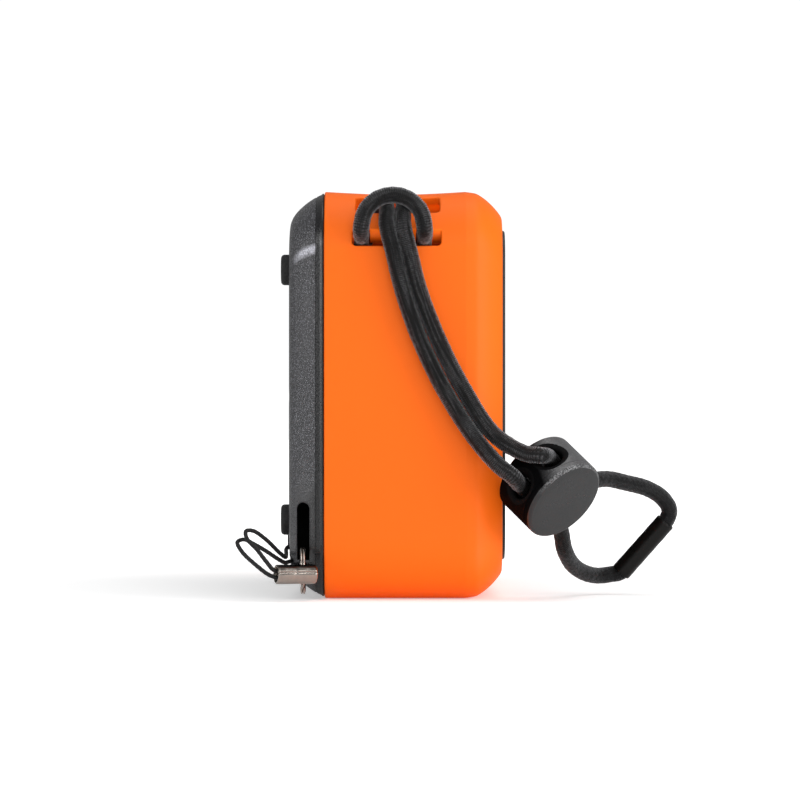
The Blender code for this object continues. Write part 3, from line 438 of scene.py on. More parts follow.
def dark_shell():
    """Coarse moulded grain with glints painted as light specks, and a smooth darker band along
    the parting edge.
    """
    graph = new_material("dark_shell")
    at = graph.coords()
    x, y, z = graph.split(at)
    band = y.ramp(over=mm(Y_PART + 1.95, Y_PART + 2.15))
    grain = graph.noise(at, scale=2700.0, roughness=0.6, distortion=0.3)
    glints = graph.cells(at, scale=2300.0)
    slow = graph.noise(at, scale=70.0, detail=3.0)
    base = slow.mix(scaled(DARK, 0.72), scaled(DARK, 0.86))
    dark_specks = graph.cells(at, scale=1700.0)
    base = dark_specks.ramp(over=(0.4, 0.12), to=(0.0, 0.8)).mix(base, scaled(DARK, 0.3))
    # painted glints: light specks in the colour
    base = glints.ramp(over=(0.4, 0.12)).mix(base, scaled(DARK, 5.0))

    # a painted highlight line near the top of both ends, which falls towards the rear
    fall_power, fall_height, line_z = 2.2, 3.7 * MM, 82.7 * MM
    fall = y.ramp(over=mm(17.4, 25.2)) ** fall_power
    away = abs(fall.mul_add(factor=fall_height, plus=z) - line_z)
    line = away.ramp(over=mm(0.4, 1.5), to=(1.0, 0.0)) * abs(x).ramp(over=mm(60.0, 62.5))
    line = line * grain.ramp(over=(0.35, 0.6), to=(0.35, 1.0))
    base = line.mix(base, scaled(DARK, 14.0))

    # smoother patches low on both ends, painted darker towards the parting edge as shade and
    # lighter towards +Y as a highlight
    wear_and_painted_light = y.ramp(over=mm(18.6, 23.6)).mix((0.006, 0.006, 0.0068), (0.055, 0.055, 0.059))
    low = z.ramp(over=mm(24, 31), to=(1.0, 0.0)) * abs(x).ramp(over=mm(57, 62))
    base = low.mix(base, wear_and_painted_light)
    glint_depth = -0.5
    height = grain + glints * glint_depth
    height = height * band.ramp(over=(0.0, 1.0), to=(0.15, 1.0))
    height = height * low.ramp(over=(0.0, 1.0), to=(1.0, 0.2))
    graph.shade(
        Base_Color=band.mix(scaled(DARK, 0.16), base),
        Roughness=grain.ramp(over=(0.3, 0.7), to=(0.22, 0.4)),
        Normal=graph.bump(height, strength=1.0, distance=0.00016),
        Specular_IOR_Level=0.6,
    )


def grille_steel():
    """Black powder coat on the grille, with a bare bright edge where it wears."""
    graph = new_material("grille_steel")
    at = graph.coords()
    orange_peel = graph.noise(at, scale=1500.0, detail=3.0, roughness=0.55)
    slow = graph.noise(at, scale=90.0)
    # near 1 along convex edges, where the rounded normal leaves the true one
    soft = graph.add("ShaderNodeBevel", {"Radius": 0.00025}, samples=4)
    true = graph.add("ShaderNodeNewGeometry", out="Normal")
    match = graph.add(
        "ShaderNodeVectorMath", {0: soft, 1: true}, out="Value", operation="DOT_PRODUCT"
    )
    patches = graph.noise(at, scale=700.0, detail=4.0, roughness=0.7).ramp(over=(0.42, 0.62))
    wear_and_painted_light = match.ramp(over=(0.98, 0.8)) * patches
    wear_strength = 0.35
    coat = slow.mix((0.018, 0.018, 0.02), (0.026, 0.026, 0.028))
    graph.shade(
        Base_Color=(wear_and_painted_light * wear_strength).mix(coat, (0.3, 0.3, 0.31)),
        Roughness=orange_peel.ramp(over=(0.3, 0.7), to=(0.33, 0.46)),
        Metallic=0.35,
        Normal=graph.bump(orange_peel, strength=0.35, distance=0.00003),
    )


def acoustic_cloth():
    """Acoustic cloth behind the grille slots: a plain weave in X and Z."""
    graph = new_material("acoustic_cloth")
    x, _, z = graph.split(graph.coords())
    threads_per_m = 1900.0
    warp, weft = x * threads_per_m, z * threads_per_m
    height = checker(warp, weft).pick(half_waves(warp), half_waves(weft))
    graph.shade(
        Base_Color=height.mix((0.004, 0.004, 0.004), (0.02, 0.02, 0.021)),
        Roughness=0.85,
        Sheen_Weight=0.2,
        Normal=graph.bump(height, strength=0.7, distance=0.0001),
    )


def circuit_board():
    """Green solder mask over copper tracks on a grid, with plated dots."""
    graph = new_material("circuit_board")
    at = graph.coords()
    pads = graph.add(
        "ShaderNodeTexVoronoi",
        {"Scale": 420.0, "Randomness": 0.35, "Vector": at},
        out="Distance",
        distance="MANHATTAN",
    )
    tracks = {"Scale": 330.0, "Mortar Size": 0.035, "Vector": at}
    line = graph.add("ShaderNodeTexBrick", tracks, out="Fac")
    dots = pads.ramp(over=(0.16, 0.12))
    patchy = graph.noise(at, scale=160.0, detail=3.0)
    mask = patchy.mix((0.004, 0.075, 0.028), (0.008, 0.12, 0.045))
    track_strength = 0.7
    mask = (line * track_strength).mix(mask, (0.02, 0.2, 0.08))
    gloss = graph.noise(at, scale=900.0, detail=3.0)
    graph.shade(
        Base_Color=dots.mix(mask, (0.62, 0.6, 0.52)),
        Metallic=dots,
        Roughness=gloss.ramp(over=(0.3, 0.7), to=(0.28, 0.42)),
        Normal=graph.bump(line + dots, strength=0.5, distance=0.00004),
    )


def cable_sheath():
    """Silicone cable: a twisted pair of tones with soft drawn lines."""
    graph = new_material("cable_sheath")
    at = graph.coords()
    wave = graph.add(
        "ShaderNodeTexWave",
        {"Scale": 160.0, "Distortion": 0.6, "Detail": 2.0, "Vector": at},
        out="Fac",
        wave_type="BANDS",
        bands_direction="DIAGONAL",
    )
    slow = graph.noise(at, scale=120.0, detail=3.0)
    tone = slow.mix((0.26, 0.012, 0.012), (0.38, 0.02, 0.018))
    line_strength = 0.25
    gloss = graph.noise(at, scale=1300.0, detail=3.0)
    graph.shade(
        Base_Color=(wave * line_strength).mix(tone, (0.08, 0.006, 0.006)),
        Roughness=gloss.ramp(over=(0.3, 0.7), to=(0.4, 0.55)),
        Normal=graph.bump(wave, strength=0.4, distance=0.00005),
    )


def window_inside():
    """The shell's own plastic in the strap windows, with painted shade on each one's lower edge
    and a faint painted glow.
    """
    graph = new_material("window_inside")
    at = graph.coords()
    ragged = graph.noise(at, scale=900.0)
    z = ragged.mul_add(factor=0.0003, plus=graph.split(at)[2])
    # painted shade: each window's lower part turns dark red
    upper = z.ramp(over=mm(HEIGHT - 5.9, HEIGHT - 3.6))
    lower = z.ramp(over=mm(HEIGHT - 12.6, HEIGHT - 9.4))
    lower = lower * z.ramp(over=mm(HEIGHT - 7.6, HEIGHT - 7.4), to=(1.0, 0.0))
    unshaded = upper.math("MAXIMUM", lower)
    tone = unshaded.mix((0.2, 0.016, 0.0006), scaled(ORANGE, 0.98))
    gloss = graph.noise(at, scale=1300.0, detail=3.0)
    grain = graph.noise(at, scale=3600.0, detail=3.0)
    graph.shade(
        Base_Color=tone,
        # painted glow: the plastic here emits a little light of its own colour
        Emission_Color=tone,
        Emission_Strength=0.3,
        Roughness=gloss.ramp(over=(0.3, 0.7), to=(0.45, 0.6)),
        Specular_IOR_Level=0.2,
        Normal=graph.bump(grain, strength=0.22, distance=0.000012),
    )


for build in (lock_flank, lock_rim, dark_shell, grille_steel, acoustic_cloth, circuit_board,
              cable_sheath, window_inside):
    build()
# painted shade: a near-black matt material that stands in for the shade deep in the slot, the
# lower windows and the lock's holes
moulded("recess", (0.0025, 0.0025, 0.0028), rough=0.9, grain=1800.0, depth=0.00004,
        specular=0.1)
moulded("key_mark", (0.05, 0.012, 0.004), rough=0.5, grain=2600.0, depth=0.00001)


# ---------------------------------------------------------------- outlines
def climb(start, stop, step):
    """start, start + step and so on, below stop."""
    while start < stop:
        yield start
        start += step


def curve(rows, x):
    """Monotone cubic through (x, value) rows sorted by x, level beyond both ends."""
    if x <= rows[0][0]:
        return rows[0][1]
    if x >= rows[-1][0]:
        return rows[-1][1]
    slopes = [(b[1] - a[1]) / (b[0] - a[0]) for a, b in zip(rows, rows[1:])]
    tangents = [slopes[0]]
    for a, b in zip(slopes, slopes[1:]):
        tangents.append(0.0 if a * b <= 0 else 2 * a * b / (a + b))
    tangents.append(slopes[-1])
    i = next(k for k in range(len(slopes)) if x <= rows[k + 1][0])
    span = rows[i + 1][0] - rows[i][0]
    t = (x - rows[i][0]) / span
    return (
        (2 * t**3 - 3 * t**2 + 1) * rows[i][1]
        + (t**3 - 2 * t**2 + t) * span * tangents[i]
        + (-2 * t**3 + 3 * t**2) * rows[i + 1][1]
        + (t**3 - t**2) * span * tangents[i + 1]
    )


def outline(inset, radius, steps=14, top_dip=0.0):
    """The housing's outline in X and Z, moved inwards, with its top lowered by top_dip."""
    half, low, high = HALF - inset, inset, HEIGHT - inset
    points = []
    for side_x, top, start in ((1, True, 0), (-1, True, 90), (-1, False, 180), (1, False, 270)):
        centre_x = side_x * (half - radius)
        centre_z = high - radius if top else low + radius
        for i in range(steps + 1):
            angle = math.radians(start + 90 * i / steps)
            x = centre_x + radius * math.cos(angle)
            z = centre_z + radius * math.sin(angle)
            if top_dip and top and z > centre_z:
                z = centre_z + (z - centre_z) * (high - top_dip - centre_z) / (high - centre_z)
            points.append((x, z))
    return points


def rounded(x, z, width, height, radius, steps=8, parts=1):
    """Rounded rectangle about (x, z), with each straight run in the given number of parts."""
    corners = ((1, 1), (-1, 1), (-1, -1), (1, -1))

    def on_corner(k, degrees):
        side_x, side_z = corners[k % 4]
        angle = math.radians(degrees)
        return (
            x + side_x * (width / 2 - radius) + radius * math.cos(angle),
            z + side_z * (height / 2 - radius) + radius * math.sin(angle),
        )

    points = []
    for k in range(4):
        points += [on_corner(k, 90 * k + 90 * i / steps) for i in range(steps + 1)]
        a, b = points[-1], on_corner(k + 1, 90 * k + 90)
        points += [
            (a[0] + (b[0] - a[0]) * i / parts, a[1] + (b[1] - a[1]) * i / parts)
            for i in range(1, parts)
        ]
    return points


def circle(x, z, radius, steps=32):
    angles = [2 * math.pi * i / steps for i in range(steps)]
    return [(x + radius * math.cos(a), z + radius * math.sin(a)) for a in angles]


def at_y(points, y):
    return [(x, y, z) for x, z in points]


def at_z(points, z):
    return [(x, y, z) for x, y in points]


def round_over(drop, inset, angles):
    """(drop, inset) rows down the quarter round of an edge, at angles in degrees."""
    turns = [math.radians(angle) for angle in angles]
    return [(drop * (1 - math.sin(t)), inset * (1 - math.cos(t))) for t in turns]


def flare(edge, deep, steps=4, last=70, out=0.5):
    """(depth, offset) rows of a cutter that rounds the edge of the hole it makes."""
    angles = [last * i / steps for i in range(steps + 1)]
    rows = [(deep, 0.0)] + round_over(edge, edge, angles)
    depth, offset = rows[-1]
    rows.append((-out, offset + (depth + out) * math.tan(math.radians(last))))
    return rows


# ---------------------------------------------------------------- solids
def skin(rings, closed_path=False, shape=None):
    """Joins rings of points into a capped solid, or into a loop if closed_path."""
    shape = shape or bmesh.new()
    rows = [[shape.verts.new(p) for p in ring] for ring in rings]
    count = len(rows[0])
    for i in range(len(rows) if closed_path else len(rows) - 1):
        a, b = rows[i], rows[(i + 1) % len(rows)]
        for k in range(count):
            n = (k + 1) % count
            shape.faces.new((a[k], a[n], b[n], b[k]))
    if not closed_path:
        shape.faces.new(rows[0][::-1])
        shape.faces.new(rows[-1])
    return shape


def stations(rows, steps=14):
    """Housing outlines as rings, from (y, inset, corner radius, top dip) rows."""
    return [at_y(outline(inset, radius, steps, sink), y) for y, inset, radius, sink in rows]


def plate(points, y_from, y_to):
    return skin([at_y(points, y_from), at_y(points, y_to)])


def revolved(profile, x, z, steps):
    """A solid about an axis along Y, from (radius, y) rows."""
    return skin([at_y(circle(x, z, max(radius, 0.01), steps), y) for radius, y in profile])


def catmull(points, per_span, closed):
    """Centripetal Catmull-Rom curve through the points."""
    points = [Vector(p) for p in points]
    count = len(points)

    def between(a, b, time_a, time_b, t):
        return a * ((time_b - t) / (time_b - time_a)) + b * ((t - time_a) / (time_b - time_a))

    out = []
    for i in range(count if closed else count - 1):
        if closed:
            p0, p1, p2, p3 = (points[(i + k) % count] for k in (-1, 0, 1, 2))
        else:
            p1, p2 = points[i], points[i + 1]
            p0 = points[i - 1] if i else p1 * 2 - p2
            p3 = points[i + 2] if i + 2 < count else p2 * 2 - p1
        t0 = 0.0
        t1 = t0 + max((p1 - p0).length, 1e-6) ** 0.5
        t2 = t1 + max((p2 - p1).length, 1e-6) ** 0.5
        t3 = t2 + max((p3 - p2).length, 1e-6) ** 0.5
        for s in range(per_span):
            t = t1 + (t2 - t1) * s / per_span
            a1 = between(p0, p1, t0, t1, t)
            a2 = between(p1, p2, t1, t2, t)
            a3 = between(p2, p3, t2, t3, t)
            b1 = between(a1, a2, t0, t2, t)
            b2 = between(a2, a3, t1, t3, t)
            out.append(between(b1, b2, t1, t2, t))
    if not closed:
        out.append(points[-1])
    return out


def evenly(path, count, closed):
    """The path at count even steps, and its length."""
    points = path + [path[0]] if closed else path
    lengths = [0.0]
    for a, b in zip(points, points[1:]):
        lengths.append(lengths[-1] + (b - a).length)
    out, k = [], 0
    for i in range(count):
        want = lengths[-1] * i / (count if closed else count - 1)
        while k < len(points) - 2 and lengths[k + 1] < want:
            k += 1
        share = (want - lengths[k]) / max(lengths[k + 1] - lengths[k], 1e-9)
        out.append(points[k].lerp(points[k + 1], min(max(share, 0.0), 1.0)))
    return out, lengths[-1]


def frames_along(path, closed):
    """Normal and side at each point, turned as little as possible."""
    count = len(path)
    tangents = []
    for i in range(count):
        if closed:
            tangents.append((path[(i + 1) % count] - path[i - 1]).normalized())
        else:
            step = path[min(i + 1, count - 1)] - path[max(i - 1, 0)]
            tangents.append(step.normalized())
    normal = tangents[0].orthogonal().normalized()
    normals = [normal]
    for i in range(1, count):
        normal = tangents[i - 1].rotation_difference(tangents[i]) @ normal
        normal = (normal - tangents[i] * normal.dot(tangents[i])).normalized()
        normals.append(normal)
    twist = 0.0
    if closed:
        back = tangents[-1].rotation_difference(tangents[0]) @ normals[-1]
        twist = math.atan2(tangents[0].dot(back.cross(normals[0])), back.dot(normals[0]))
    out = []
    for i in range(count):
        turn = twist * i / count
        side = tangents[i].cross(normals[i])
        normal = normals[i] * math.cos(turn) + side * math.sin(turn)
        out.append((normal, tangents[i].cross(normal)))
    return out


def sweep(path, length, radius, sides, closed, wobble=None):
    """Tube with UVs: u is the distance along, v goes once round.

    radius is a number or a function of u, and wobble(u, v) is added to it.
    """
    shape = bmesh.new()
    layer = shape.loops.layers.uv.new("UVMap")
    count = len(path)
    step = length / (count if closed else count - 1)
    rings = []
    for i, (p, (normal, side)) in enumerate(zip(path, frames_along(path, closed))):
        plain = radius(i * step) if callable(radius) else radius
        ring = []
        for k in range(sides):
            angle = 2 * math.pi * k / sides
            reach = plain + (wobble(i * step, k / sides) if wobble else 0.0)
            at = p + normal * (reach * math.cos(angle)) + side * (reach * math.sin(angle))
            ring.append(shape.verts.new(at))
        rings.append(ring)
    for i in range(count if closed else count - 1):
        a, b = rings[i], rings[(i + 1) % count]
        for k in range(sides):
            n = (k + 1) % sides
            face = shape.faces.new((a[k], a[n], b[n], b[k]))
            u0, u1, v0, v1 = i * step, (i + 1) * step, k / sides, (k + 1) / sides
            for loop, uv in zip(face.loops, ((u0, v0), (u0, v1), (u1, v1), (u1, v0))):
                loop[layer].uv = uv
    if not closed:
        for ring, u in ((rings[0][::-1], 0.0), (rings[-1], length)):
            for loop in shape.faces.new(ring).loops:
                loop[layer].uv = (u, 0.0)
    return shape


# ---------------------------------------------------------------- objects
TOOLS = []


def new_object(name, mesh_name, shape, materials):
    """Turns a shape in millimetres into an object in metres."""
    bmesh.ops.recalc_face_normals(shape, faces=shape.faces)
    shape.transform(Matrix.Scale(MM, 4))
    mesh = bpy.data.meshes.new(mesh_name)
    shape.to_mesh(mesh)
    shape.free()
    for material in materials:
        mesh.materials.append(M[material])
    obj = bpy.data.objects.new(name, mesh)
    bpy.context.scene.collection.objects.link(obj)
    return obj


def make(name, shape, *materials, angle=35):
    obj = new_object(name, name, shape, materials)
    obj.data.shade_smooth()
    obj.data.set_sharp_from_angle(angle=math.radians(angle))
    return obj


def tool(shape, *materials):
    """An object for Booleans, which bake removes."""
    obj = new_object(f"tool_{len(TOOLS)}", "tool", shape, materials)
    obj.hide_render = True
    TOOLS.append(obj)
    return obj


def carve(target, shape, operation="DIFFERENCE"):
    """Cuts a shape or a tool from the target, or joins it on."""
    modifier = target.modifiers.new("cut", "BOOLEAN")
    modifier.operation = operation
    modifier.solver = "EXACT"
    modifier.material_mode = "TRANSFER"
    modifier.object = shape if isinstance(shape, bpy.types.Object) else tool(shape)


def bake(obj, angle=30):
    """Applies the Booleans, removes their cutters and sets soft and sharp edges."""
    bpy.context.view_layer.update()
    graph = bpy.context.evaluated_depsgraph_get()
    mesh = bpy.data.meshes.new_from_object(
        obj.evaluated_get(graph), preserve_all_data_layers=True, depsgraph=graph
    )
    mesh.name = obj.name
    obj.modifiers.clear()
    obj.data = mesh
    for other in TOOLS:
        bpy.data.objects.remove(other, do_unlink=True)
    TOOLS.clear()
    mesh.shade_smooth()
    mesh.set_sharp_from_angle(angle=math.radians(angle))
    modifier = obj.modifiers.new("normals", "WEIGHTED_NORMAL")
    modifier.keep_sharp = True
    modifier.weight = 80


def stand_for(obj, body, cad_node):
    """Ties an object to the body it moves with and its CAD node."""
    if body is not None:
        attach(obj, body)
    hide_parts(cad_node)


# ---------------------------------------------------------------- housing surfaces
# (y, inset from the full outline) of the front and rear shells
FRONT_PROFILE = [(-25.3, 6.2), (-24.5, 5.0), (-22.6, 2.9), (-20.8, 1.4), (-18.9, 0.35),
                 (-16.5, 0.0)]
REAR_PROFILE = [(17.1, 0.5), (18.65, 1.2), (20.5, 2.3), (22.4, 3.8), (23.9, 5.4), (24.9, 7.3),
                (25.3, 10.0)]
REAR_BY_INSET = [(inset, y) for y, inset in REAR_PROFILE]
# (y, share of TOP_DIP)
DIP_PROFILE = [(-16.5, 0.0), (-11.0, 0.55), (-4.0, 1.0), (4.0, 1.0), (10.0, 0.6), (16.8, 0.0)]


def dip(y):
    return TOP_DIP * curve(DIP_PROFILE, y)


def on_top(points, depth):
    """Points of X and Y at a depth below the housing's top."""
    return [(x, y, HEIGHT - dip(y) - depth) for x, y in points]


def rear_inset(y):
    return curve(REAR_PROFILE, y)


def rear_row(y, inset):
    """A station of the rear shell, whose corners tighten as it narrows."""
    return y, inset, 13.3 - 0.5 * inset, 0.0


def rear_y(x, z):
    """Y of the rear shell's outer surface above a point of its face."""
    return curve(REAR_BY_INSET, min(HALF - abs(x), z, HEIGHT - z))


def rear_x(y, z):
    """X of the rear shell's surface on its -X side."""
    _, inset, radius, _ = rear_row(y, rear_inset(y))
    z = min(z, HEIGHT - z)
    if z >= inset + radius:
        return -(HALF - inset)
    drop = max(inset + radius - z, 0.0)
    return -(HALF - inset - radius + math.sqrt(max(radius**2 - drop**2, 0.0)))


# ---------------------------------------------------------------- front housing
# (y, inset, corner radius, top dip)
front_rows = [(Y_FRONT, 6.95, 9.0, 0.0), (Y_FRONT + 0.04, 6.5, 9.35, 0.0),
              (Y_FRONT + 0.14, 6.12, 9.65, 0.0)]
for y in climb(Y_FRONT + 0.4, -16.5, 0.55):
    inset = curve(FRONT_PROFILE, y)
    front_rows.append((y, inset, CORNER_R - 0.7 * inset, 0.0))
for y in (-16.5, -14.6, -12.8, -11.0, -9.2, -7.4, -5.6, -3.8, -1.5, 1.0, 3.0, 4.8, 6.6, 8.4,
          10.2, 12.0, 13.8, 15.4, 16.3):
    front_rows.append((y, 0.0, CORNER_R, dip(y)))
front_rows += [(16.55, 0.03, CORNER_R, 0.0), (16.7, 0.12, CORNER_R, 0.0),
               (Y_PART, 0.32, 13.8, 0.0)]
front = make("housing_front", skin(stations(front_rows, 16)), "orange_shell")

# the cavity, with a step inwards towards the parting plane
FRONT_CAVITY = [
    (-21.0, WALL + 2.0, 9.5, 0.6),
    (-18.5, WALL + 0.4, 11.0, 0.6),
    (11.5, WALL + 0.4, 11.0, 0.6),
    (11.5, 4.7, 9.3, 0.6),
    (12.9, 4.7, 9.3, 0.6),
    (12.9, WALL, 11.6, 0.0),
    (Y_PART + 2, WALL, 11.6, 0.0),
]
carve(front, skin(stations(FRONT_CAVITY, 10)))

# the seat of the grille and the opening behind it
GRILLE_INSET = (WIDTH - (GRILLE_HIGH.x - GRILLE_LOW.x)) / 2
GRILLE_R = 8.0
seat = [
    (Y_FRONT + depth, GRILLE_INSET - GAP - offset, 8.3 + offset, 0.0)
    for depth, offset in flare(0.35, 1.6)
]
carve(front, skin(stations(seat)))
carve(front, plate(outline(12.5, 6.0, 10), -24.5, -20.0))


# strap windows: in both upper corners, measured by angle from the top of the corner
def polar(side, angle, radius):
    turn = math.radians(angle)
    return (
        side * (HALF - CORNER_R + radius * math.sin(turn)),
        HEIGHT - CORNER_R + radius * math.cos(turn),
    )


def sector(side, start, end, inner, outer, y_from, y_to, steps):
    angles = [start + (end - start) * i / steps for i in range(steps + 1)]
    points = [polar(side, angle, outer) for angle in angles]
    points += [polar(side, angle, inner) for angle in reversed(angles)]
    return plate(points, y_from, y_to)


def window(side, start, end, y_from, y_to, edge):
    """Cutter for a window of the strap bar. It follows the rounded corner and its dip."""
    corner = 0.9
    middle_angle, middle_y = (start + end) / 2, (y_from + y_to) / 2
    centre_x, centre_z = side * (HALF - CORNER_R), HEIGHT - CORNER_R
    rings = []
    for depth, offset in flare(edge, 3.4):
        ring = []
        width = math.radians(end - start) * CORNER_R + 2 * offset
        height = (y_to - y_from) + 2 * offset
        for across, along in rounded(0, 0, width, height, corner + offset, 5, 6):
            angle = middle_angle + math.degrees(across / CORNER_R)
            x, z = polar(side, angle, CORNER_R - depth)
            if z > centre_z:
                sunk = CORNER_R - dip(middle_y + along)
                z = centre_z + (z - centre_z) * sunk / CORNER_R
            ring.append((x, middle_y + along, z))
        rings.append(ring)
    reach = 1.6  # carries the cutter well clear of the corner
    rings.append([
        (centre_x + (x - centre_x) * reach, y, centre_z + (z - centre_z) * reach)
        for x, y, z in rings[-1]
    ])
    return skin(rings)


def bar_roll(side, y_from, y_to, radius=3.0, steps=8):
    """The bar's lower edge, rolled inwards between the places where the cord passes."""
    edge_x, centre_z = polar(side, 71.0, CORNER_R)
    centre_x = edge_x - side * radius
    points = [(centre_x - side, centre_z + 0.5), (centre_x - side, centre_z - radius + 1.2)]
    for i in range(steps + 1):
        turn = math.radians(90 * i / steps)
        points.append((
            centre_x + side * radius * math.sin(turn),
            centre_z - radius * math.cos(turn),
        ))
    points.append((edge_x - side * 0.4, centre_z + 0.5))
    return plate(points if side > 0 else points[::-1], y_from, y_to)


WINDOW_Y = (-10.7, 10.2)
for side in (-1, 1):
    carve(front, sector(side, 6, 112, 3.4, 12.6, -12.9, 11.45, 20), "UNION")
for side in (-1, 1):
    carve(front, tool(sector(side, 17, 100, 5.4, 11.8, *WINDOW_Y, 24), "window_inside"))
    # painted shade: the pocket behind the lower window gets the near-black recess material
    carve(front, tool(sector(side, 84, 106, 6.4, 13.1, *WINDOW_Y, 10), "recess"))
    carve(front, window(side, 24.0, 50.0, -10.4, 9.4, 0.4))
    carve(front, window(side, 71.0, 86.9, *WINDOW_Y, 0.35))
for side in (-1, 1):
    for roll_y in ((-4.8, 5.95), (-11.0, -8.85)):
        carve(front, tool(bar_roll(side, *roll_y), "window_inside"), "UNION")

# openings for the keys and the status light
KEY_BOXES = [box_mm(f"button_{n}") for n in range(1, 6)]
KEY_CENTRES = [middle(box, "xy") for box in KEY_BOXES]
KEY_W, KEY_D = 11.4, 7.4
KEY_TOP = KEY_BOXES[0][1].z
for x, y in KEY_CENTRES:
    rings = []
    for depth, offset in flare(0.3, 8.0):
        width, length = KEY_W + 0.6 + 2 * offset, KEY_D + 0.6 + 2 * offset
        points = rounded(x, y, width, length, 2.3 + offset, 6, 3)
        rings.append(on_top(points, depth))
    rings.append(at_z(points, HEIGHT + 4))
    carve(front, skin(rings))
LED_BOX = box_mm("led_light_pipe")
LED_X, LED_Y = middle(LED_BOX, "xy")
carve(front, skin([
    on_top(circle(LED_X, LED_Y, 1.1 + offset, 24), depth) for depth, offset in flare(0.25, 8.0)
]))

# screw posts, each with a rib to the nearest wall
SCREW_BOXES = [box_mm(f"housing_screw_{n}") for n in range(1, 7)]
SCREWS = [middle(box, "xz") for box in SCREW_BOXES]
RIB_HALF = 1.2
for x, z in SCREWS:
    carve(front, plate(circle(x, z, 3.0, 24), 4.0, 16.5), "UNION")
    if abs(x) > 50:
        left, right = sorted((x, math.copysign(HALF - 1.2, x)))
        low, high = z - RIB_HALF, z + RIB_HALF
    else:
        left, right = x - RIB_HALF, x + RIB_HALF
        low, high = sorted((z, HEIGHT - 1.6 if z > MID_Z else 1.2))
    rib = plate([(left, low), (right, low), (right, high), (left, high)], 5.0, 11.0)
    carve(front, rib, "UNION")
for x, z in SCREWS:
    carve(front, plate(circle(x, z, 1.45, 20), 6.0, 20.0))
bake(front)
stand_for(front, "root", "front_housing")

# ---------------------------------------------------------------- rear housing
rear_rows = [(16.96, 0.62, 13.0, 0.0), (17.02, 0.42, 13.1, 0.0), (17.3, 0.45, 13.1, 0.0)]
rear_rows += [
    rear_row(y, rear_inset(y)) for y in climb(17.6, 24.9, 0.42) if not 18.5 < y < 19.0
]
# a fine groove runs round the shell: (y, depth)
for y, deeper in ((18.62, 0.0), (18.68, 0.1), (18.76, 0.12), (18.84, 0.1), (18.9, 0.0)):
    rear_rows.append(rear_row(y, rear_inset(y) + deeper))
rear_rows.sort()
# (y, inset) where the shell turns into its flat face
REAR_TURN = [(24.95, 7.45), (25.08, 8.2), (25.18, 8.95), (25.26, 9.9), (Y_REAR, 11.2)]
rear_rows += [rear_row(y, inset) for y, inset in REAR_TURN]
rear = make("housing_rear", skin(stations(rear_rows, 16)), "dark_shell")
carve(rear, plate(outline(WALL + 0.35, 11.2), 14.5, 18.0), "UNION")

# the cavity leaves a solid block behind the ring's slot
REAR_CAVITY = [
    (13.0, 4.4, 9.6, 0.0),
    (18.0, 4.4, 9.6, 0.0),
    (20.4, 5.6, 9.0, 0.0),
    (22.0, 7.4, 8.2, 0.0),
    (Y_REAR - 2.2, 10.5, 6.6, 0.0),
]
cavity = tool(skin(stations(REAR_CAVITY, 10)))
carve(cavity, plate(rounded(-54.2, 14.6, 16.4, 18.0, 4.0), 17.6, 24.2))
carve(rear, cavity)
for x, z in SCREWS:
    carve(rear, plate(circle(x, z, 3.4, 24), 18.5, 24.0), "UNION")


def face_cutter(points_at, floor_y, edge):
    """Cutter into the rear face down to floor_y. points_at(offset) gives its outline."""
    rings = [at_y(points_at(0.0), floor_y)]
    for depth, offset in flare(edge, 1.0)[1:]:
        points = points_at(offset)
        rings.append([(x, max(rear_y(x, z) - depth, floor_y + 0.02), z) for x, z in points])
    rings.append(at_y(points, Y_REAR + 4))
    return skin(rings)


def round_recess(x, z, radius, floor_y, edge, steps):
    carve(rear, face_cutter(lambda o: circle(x, z, radius + o, steps), floor_y, edge))


def flat_recess(x, z, width, height, radius, floor_y, edge, steps=8):
    """A rounded rectangular recess in the rear face."""

    def points_at(offset):
        wide, high = width + 2 * offset, height + 2 * offset
        return rounded(x, z, wide, high, radius + offset, steps, 4)

    carve(rear, face_cutter(points_at, floor_y, edge))


for x, z in SCREWS:
    carve(rear, plate(circle(x, z, 1.5, 20), 12.0, 30.0))
    round_recess(x, z, 2.6, 23.6, 0.25, 32)
FEET = []  # (x, z, radius, y of the base, y of the tip)
for n in range(1, 5):
    low, high = box_mm(f"rear_foot_{n}")
    FEET.append((*middle((low, high), "xz"), (high.x - low.x) / 2, low.y, high.y))
for x, z, radius, _, _ in FEET:
    round_recess(x, z, radius + GAP, 24.4, 0.25, 48)

# the ring's slot opens on the -X side, with a round upper end
SLOT_Y, SLOT_Z = (20.3, 23.2), (9.4, 22.9)
SLOT_FLOOR_X = -52.0


def slot_points(offset):
    """The slot's outline in Y and Z."""
    y0, y1 = SLOT_Y[0] - offset, SLOT_Y[1] + offset
    z0, z1 = SLOT_Z[0] - offset, SLOT_Z[1] + offset
    radius = (y1 - y0) / 2
    straight = z1 - radius - z0
    points = [(y0, z0), (y1, z0)]
    points += [(y1, z0 + straight * k / 4) for k in range(1, 4)]
    for i in range(15):
        turn = math.pi * i / 14
        y = (y0 + y1) / 2 + radius * math.cos(turn)
        points.append((y, z1 - radius + radius * math.sin(turn)))
    points += [(y0, z1 - radius - straight * k / 4) for k in range(1, 4)]
    return points


rings = [[(SLOT_FLOOR_X, y, z) for y, z in slot_points(0.0)]]
for depth, offset in [(1.6, 0.0)] + flare(0.5, 1.0)[1:]:
    rings.append([(rear_x(y, z) + depth, y, z) for y, z in slot_points(offset)])
rings.append([(-HALF - 8, y, z) for x, y, z in rings[-1]])
slot = skin(rings)
# painted shade: the slot's deep walls and floor get the near-black recess material
for i, face in enumerate(slot.faces):
    if i < len(rings[0]) or i == len(slot.faces) - 2:  # the deep walls and the floor
        face.material_index = 1
carve(rear, tool(slot, "dark_shell", "recess"))

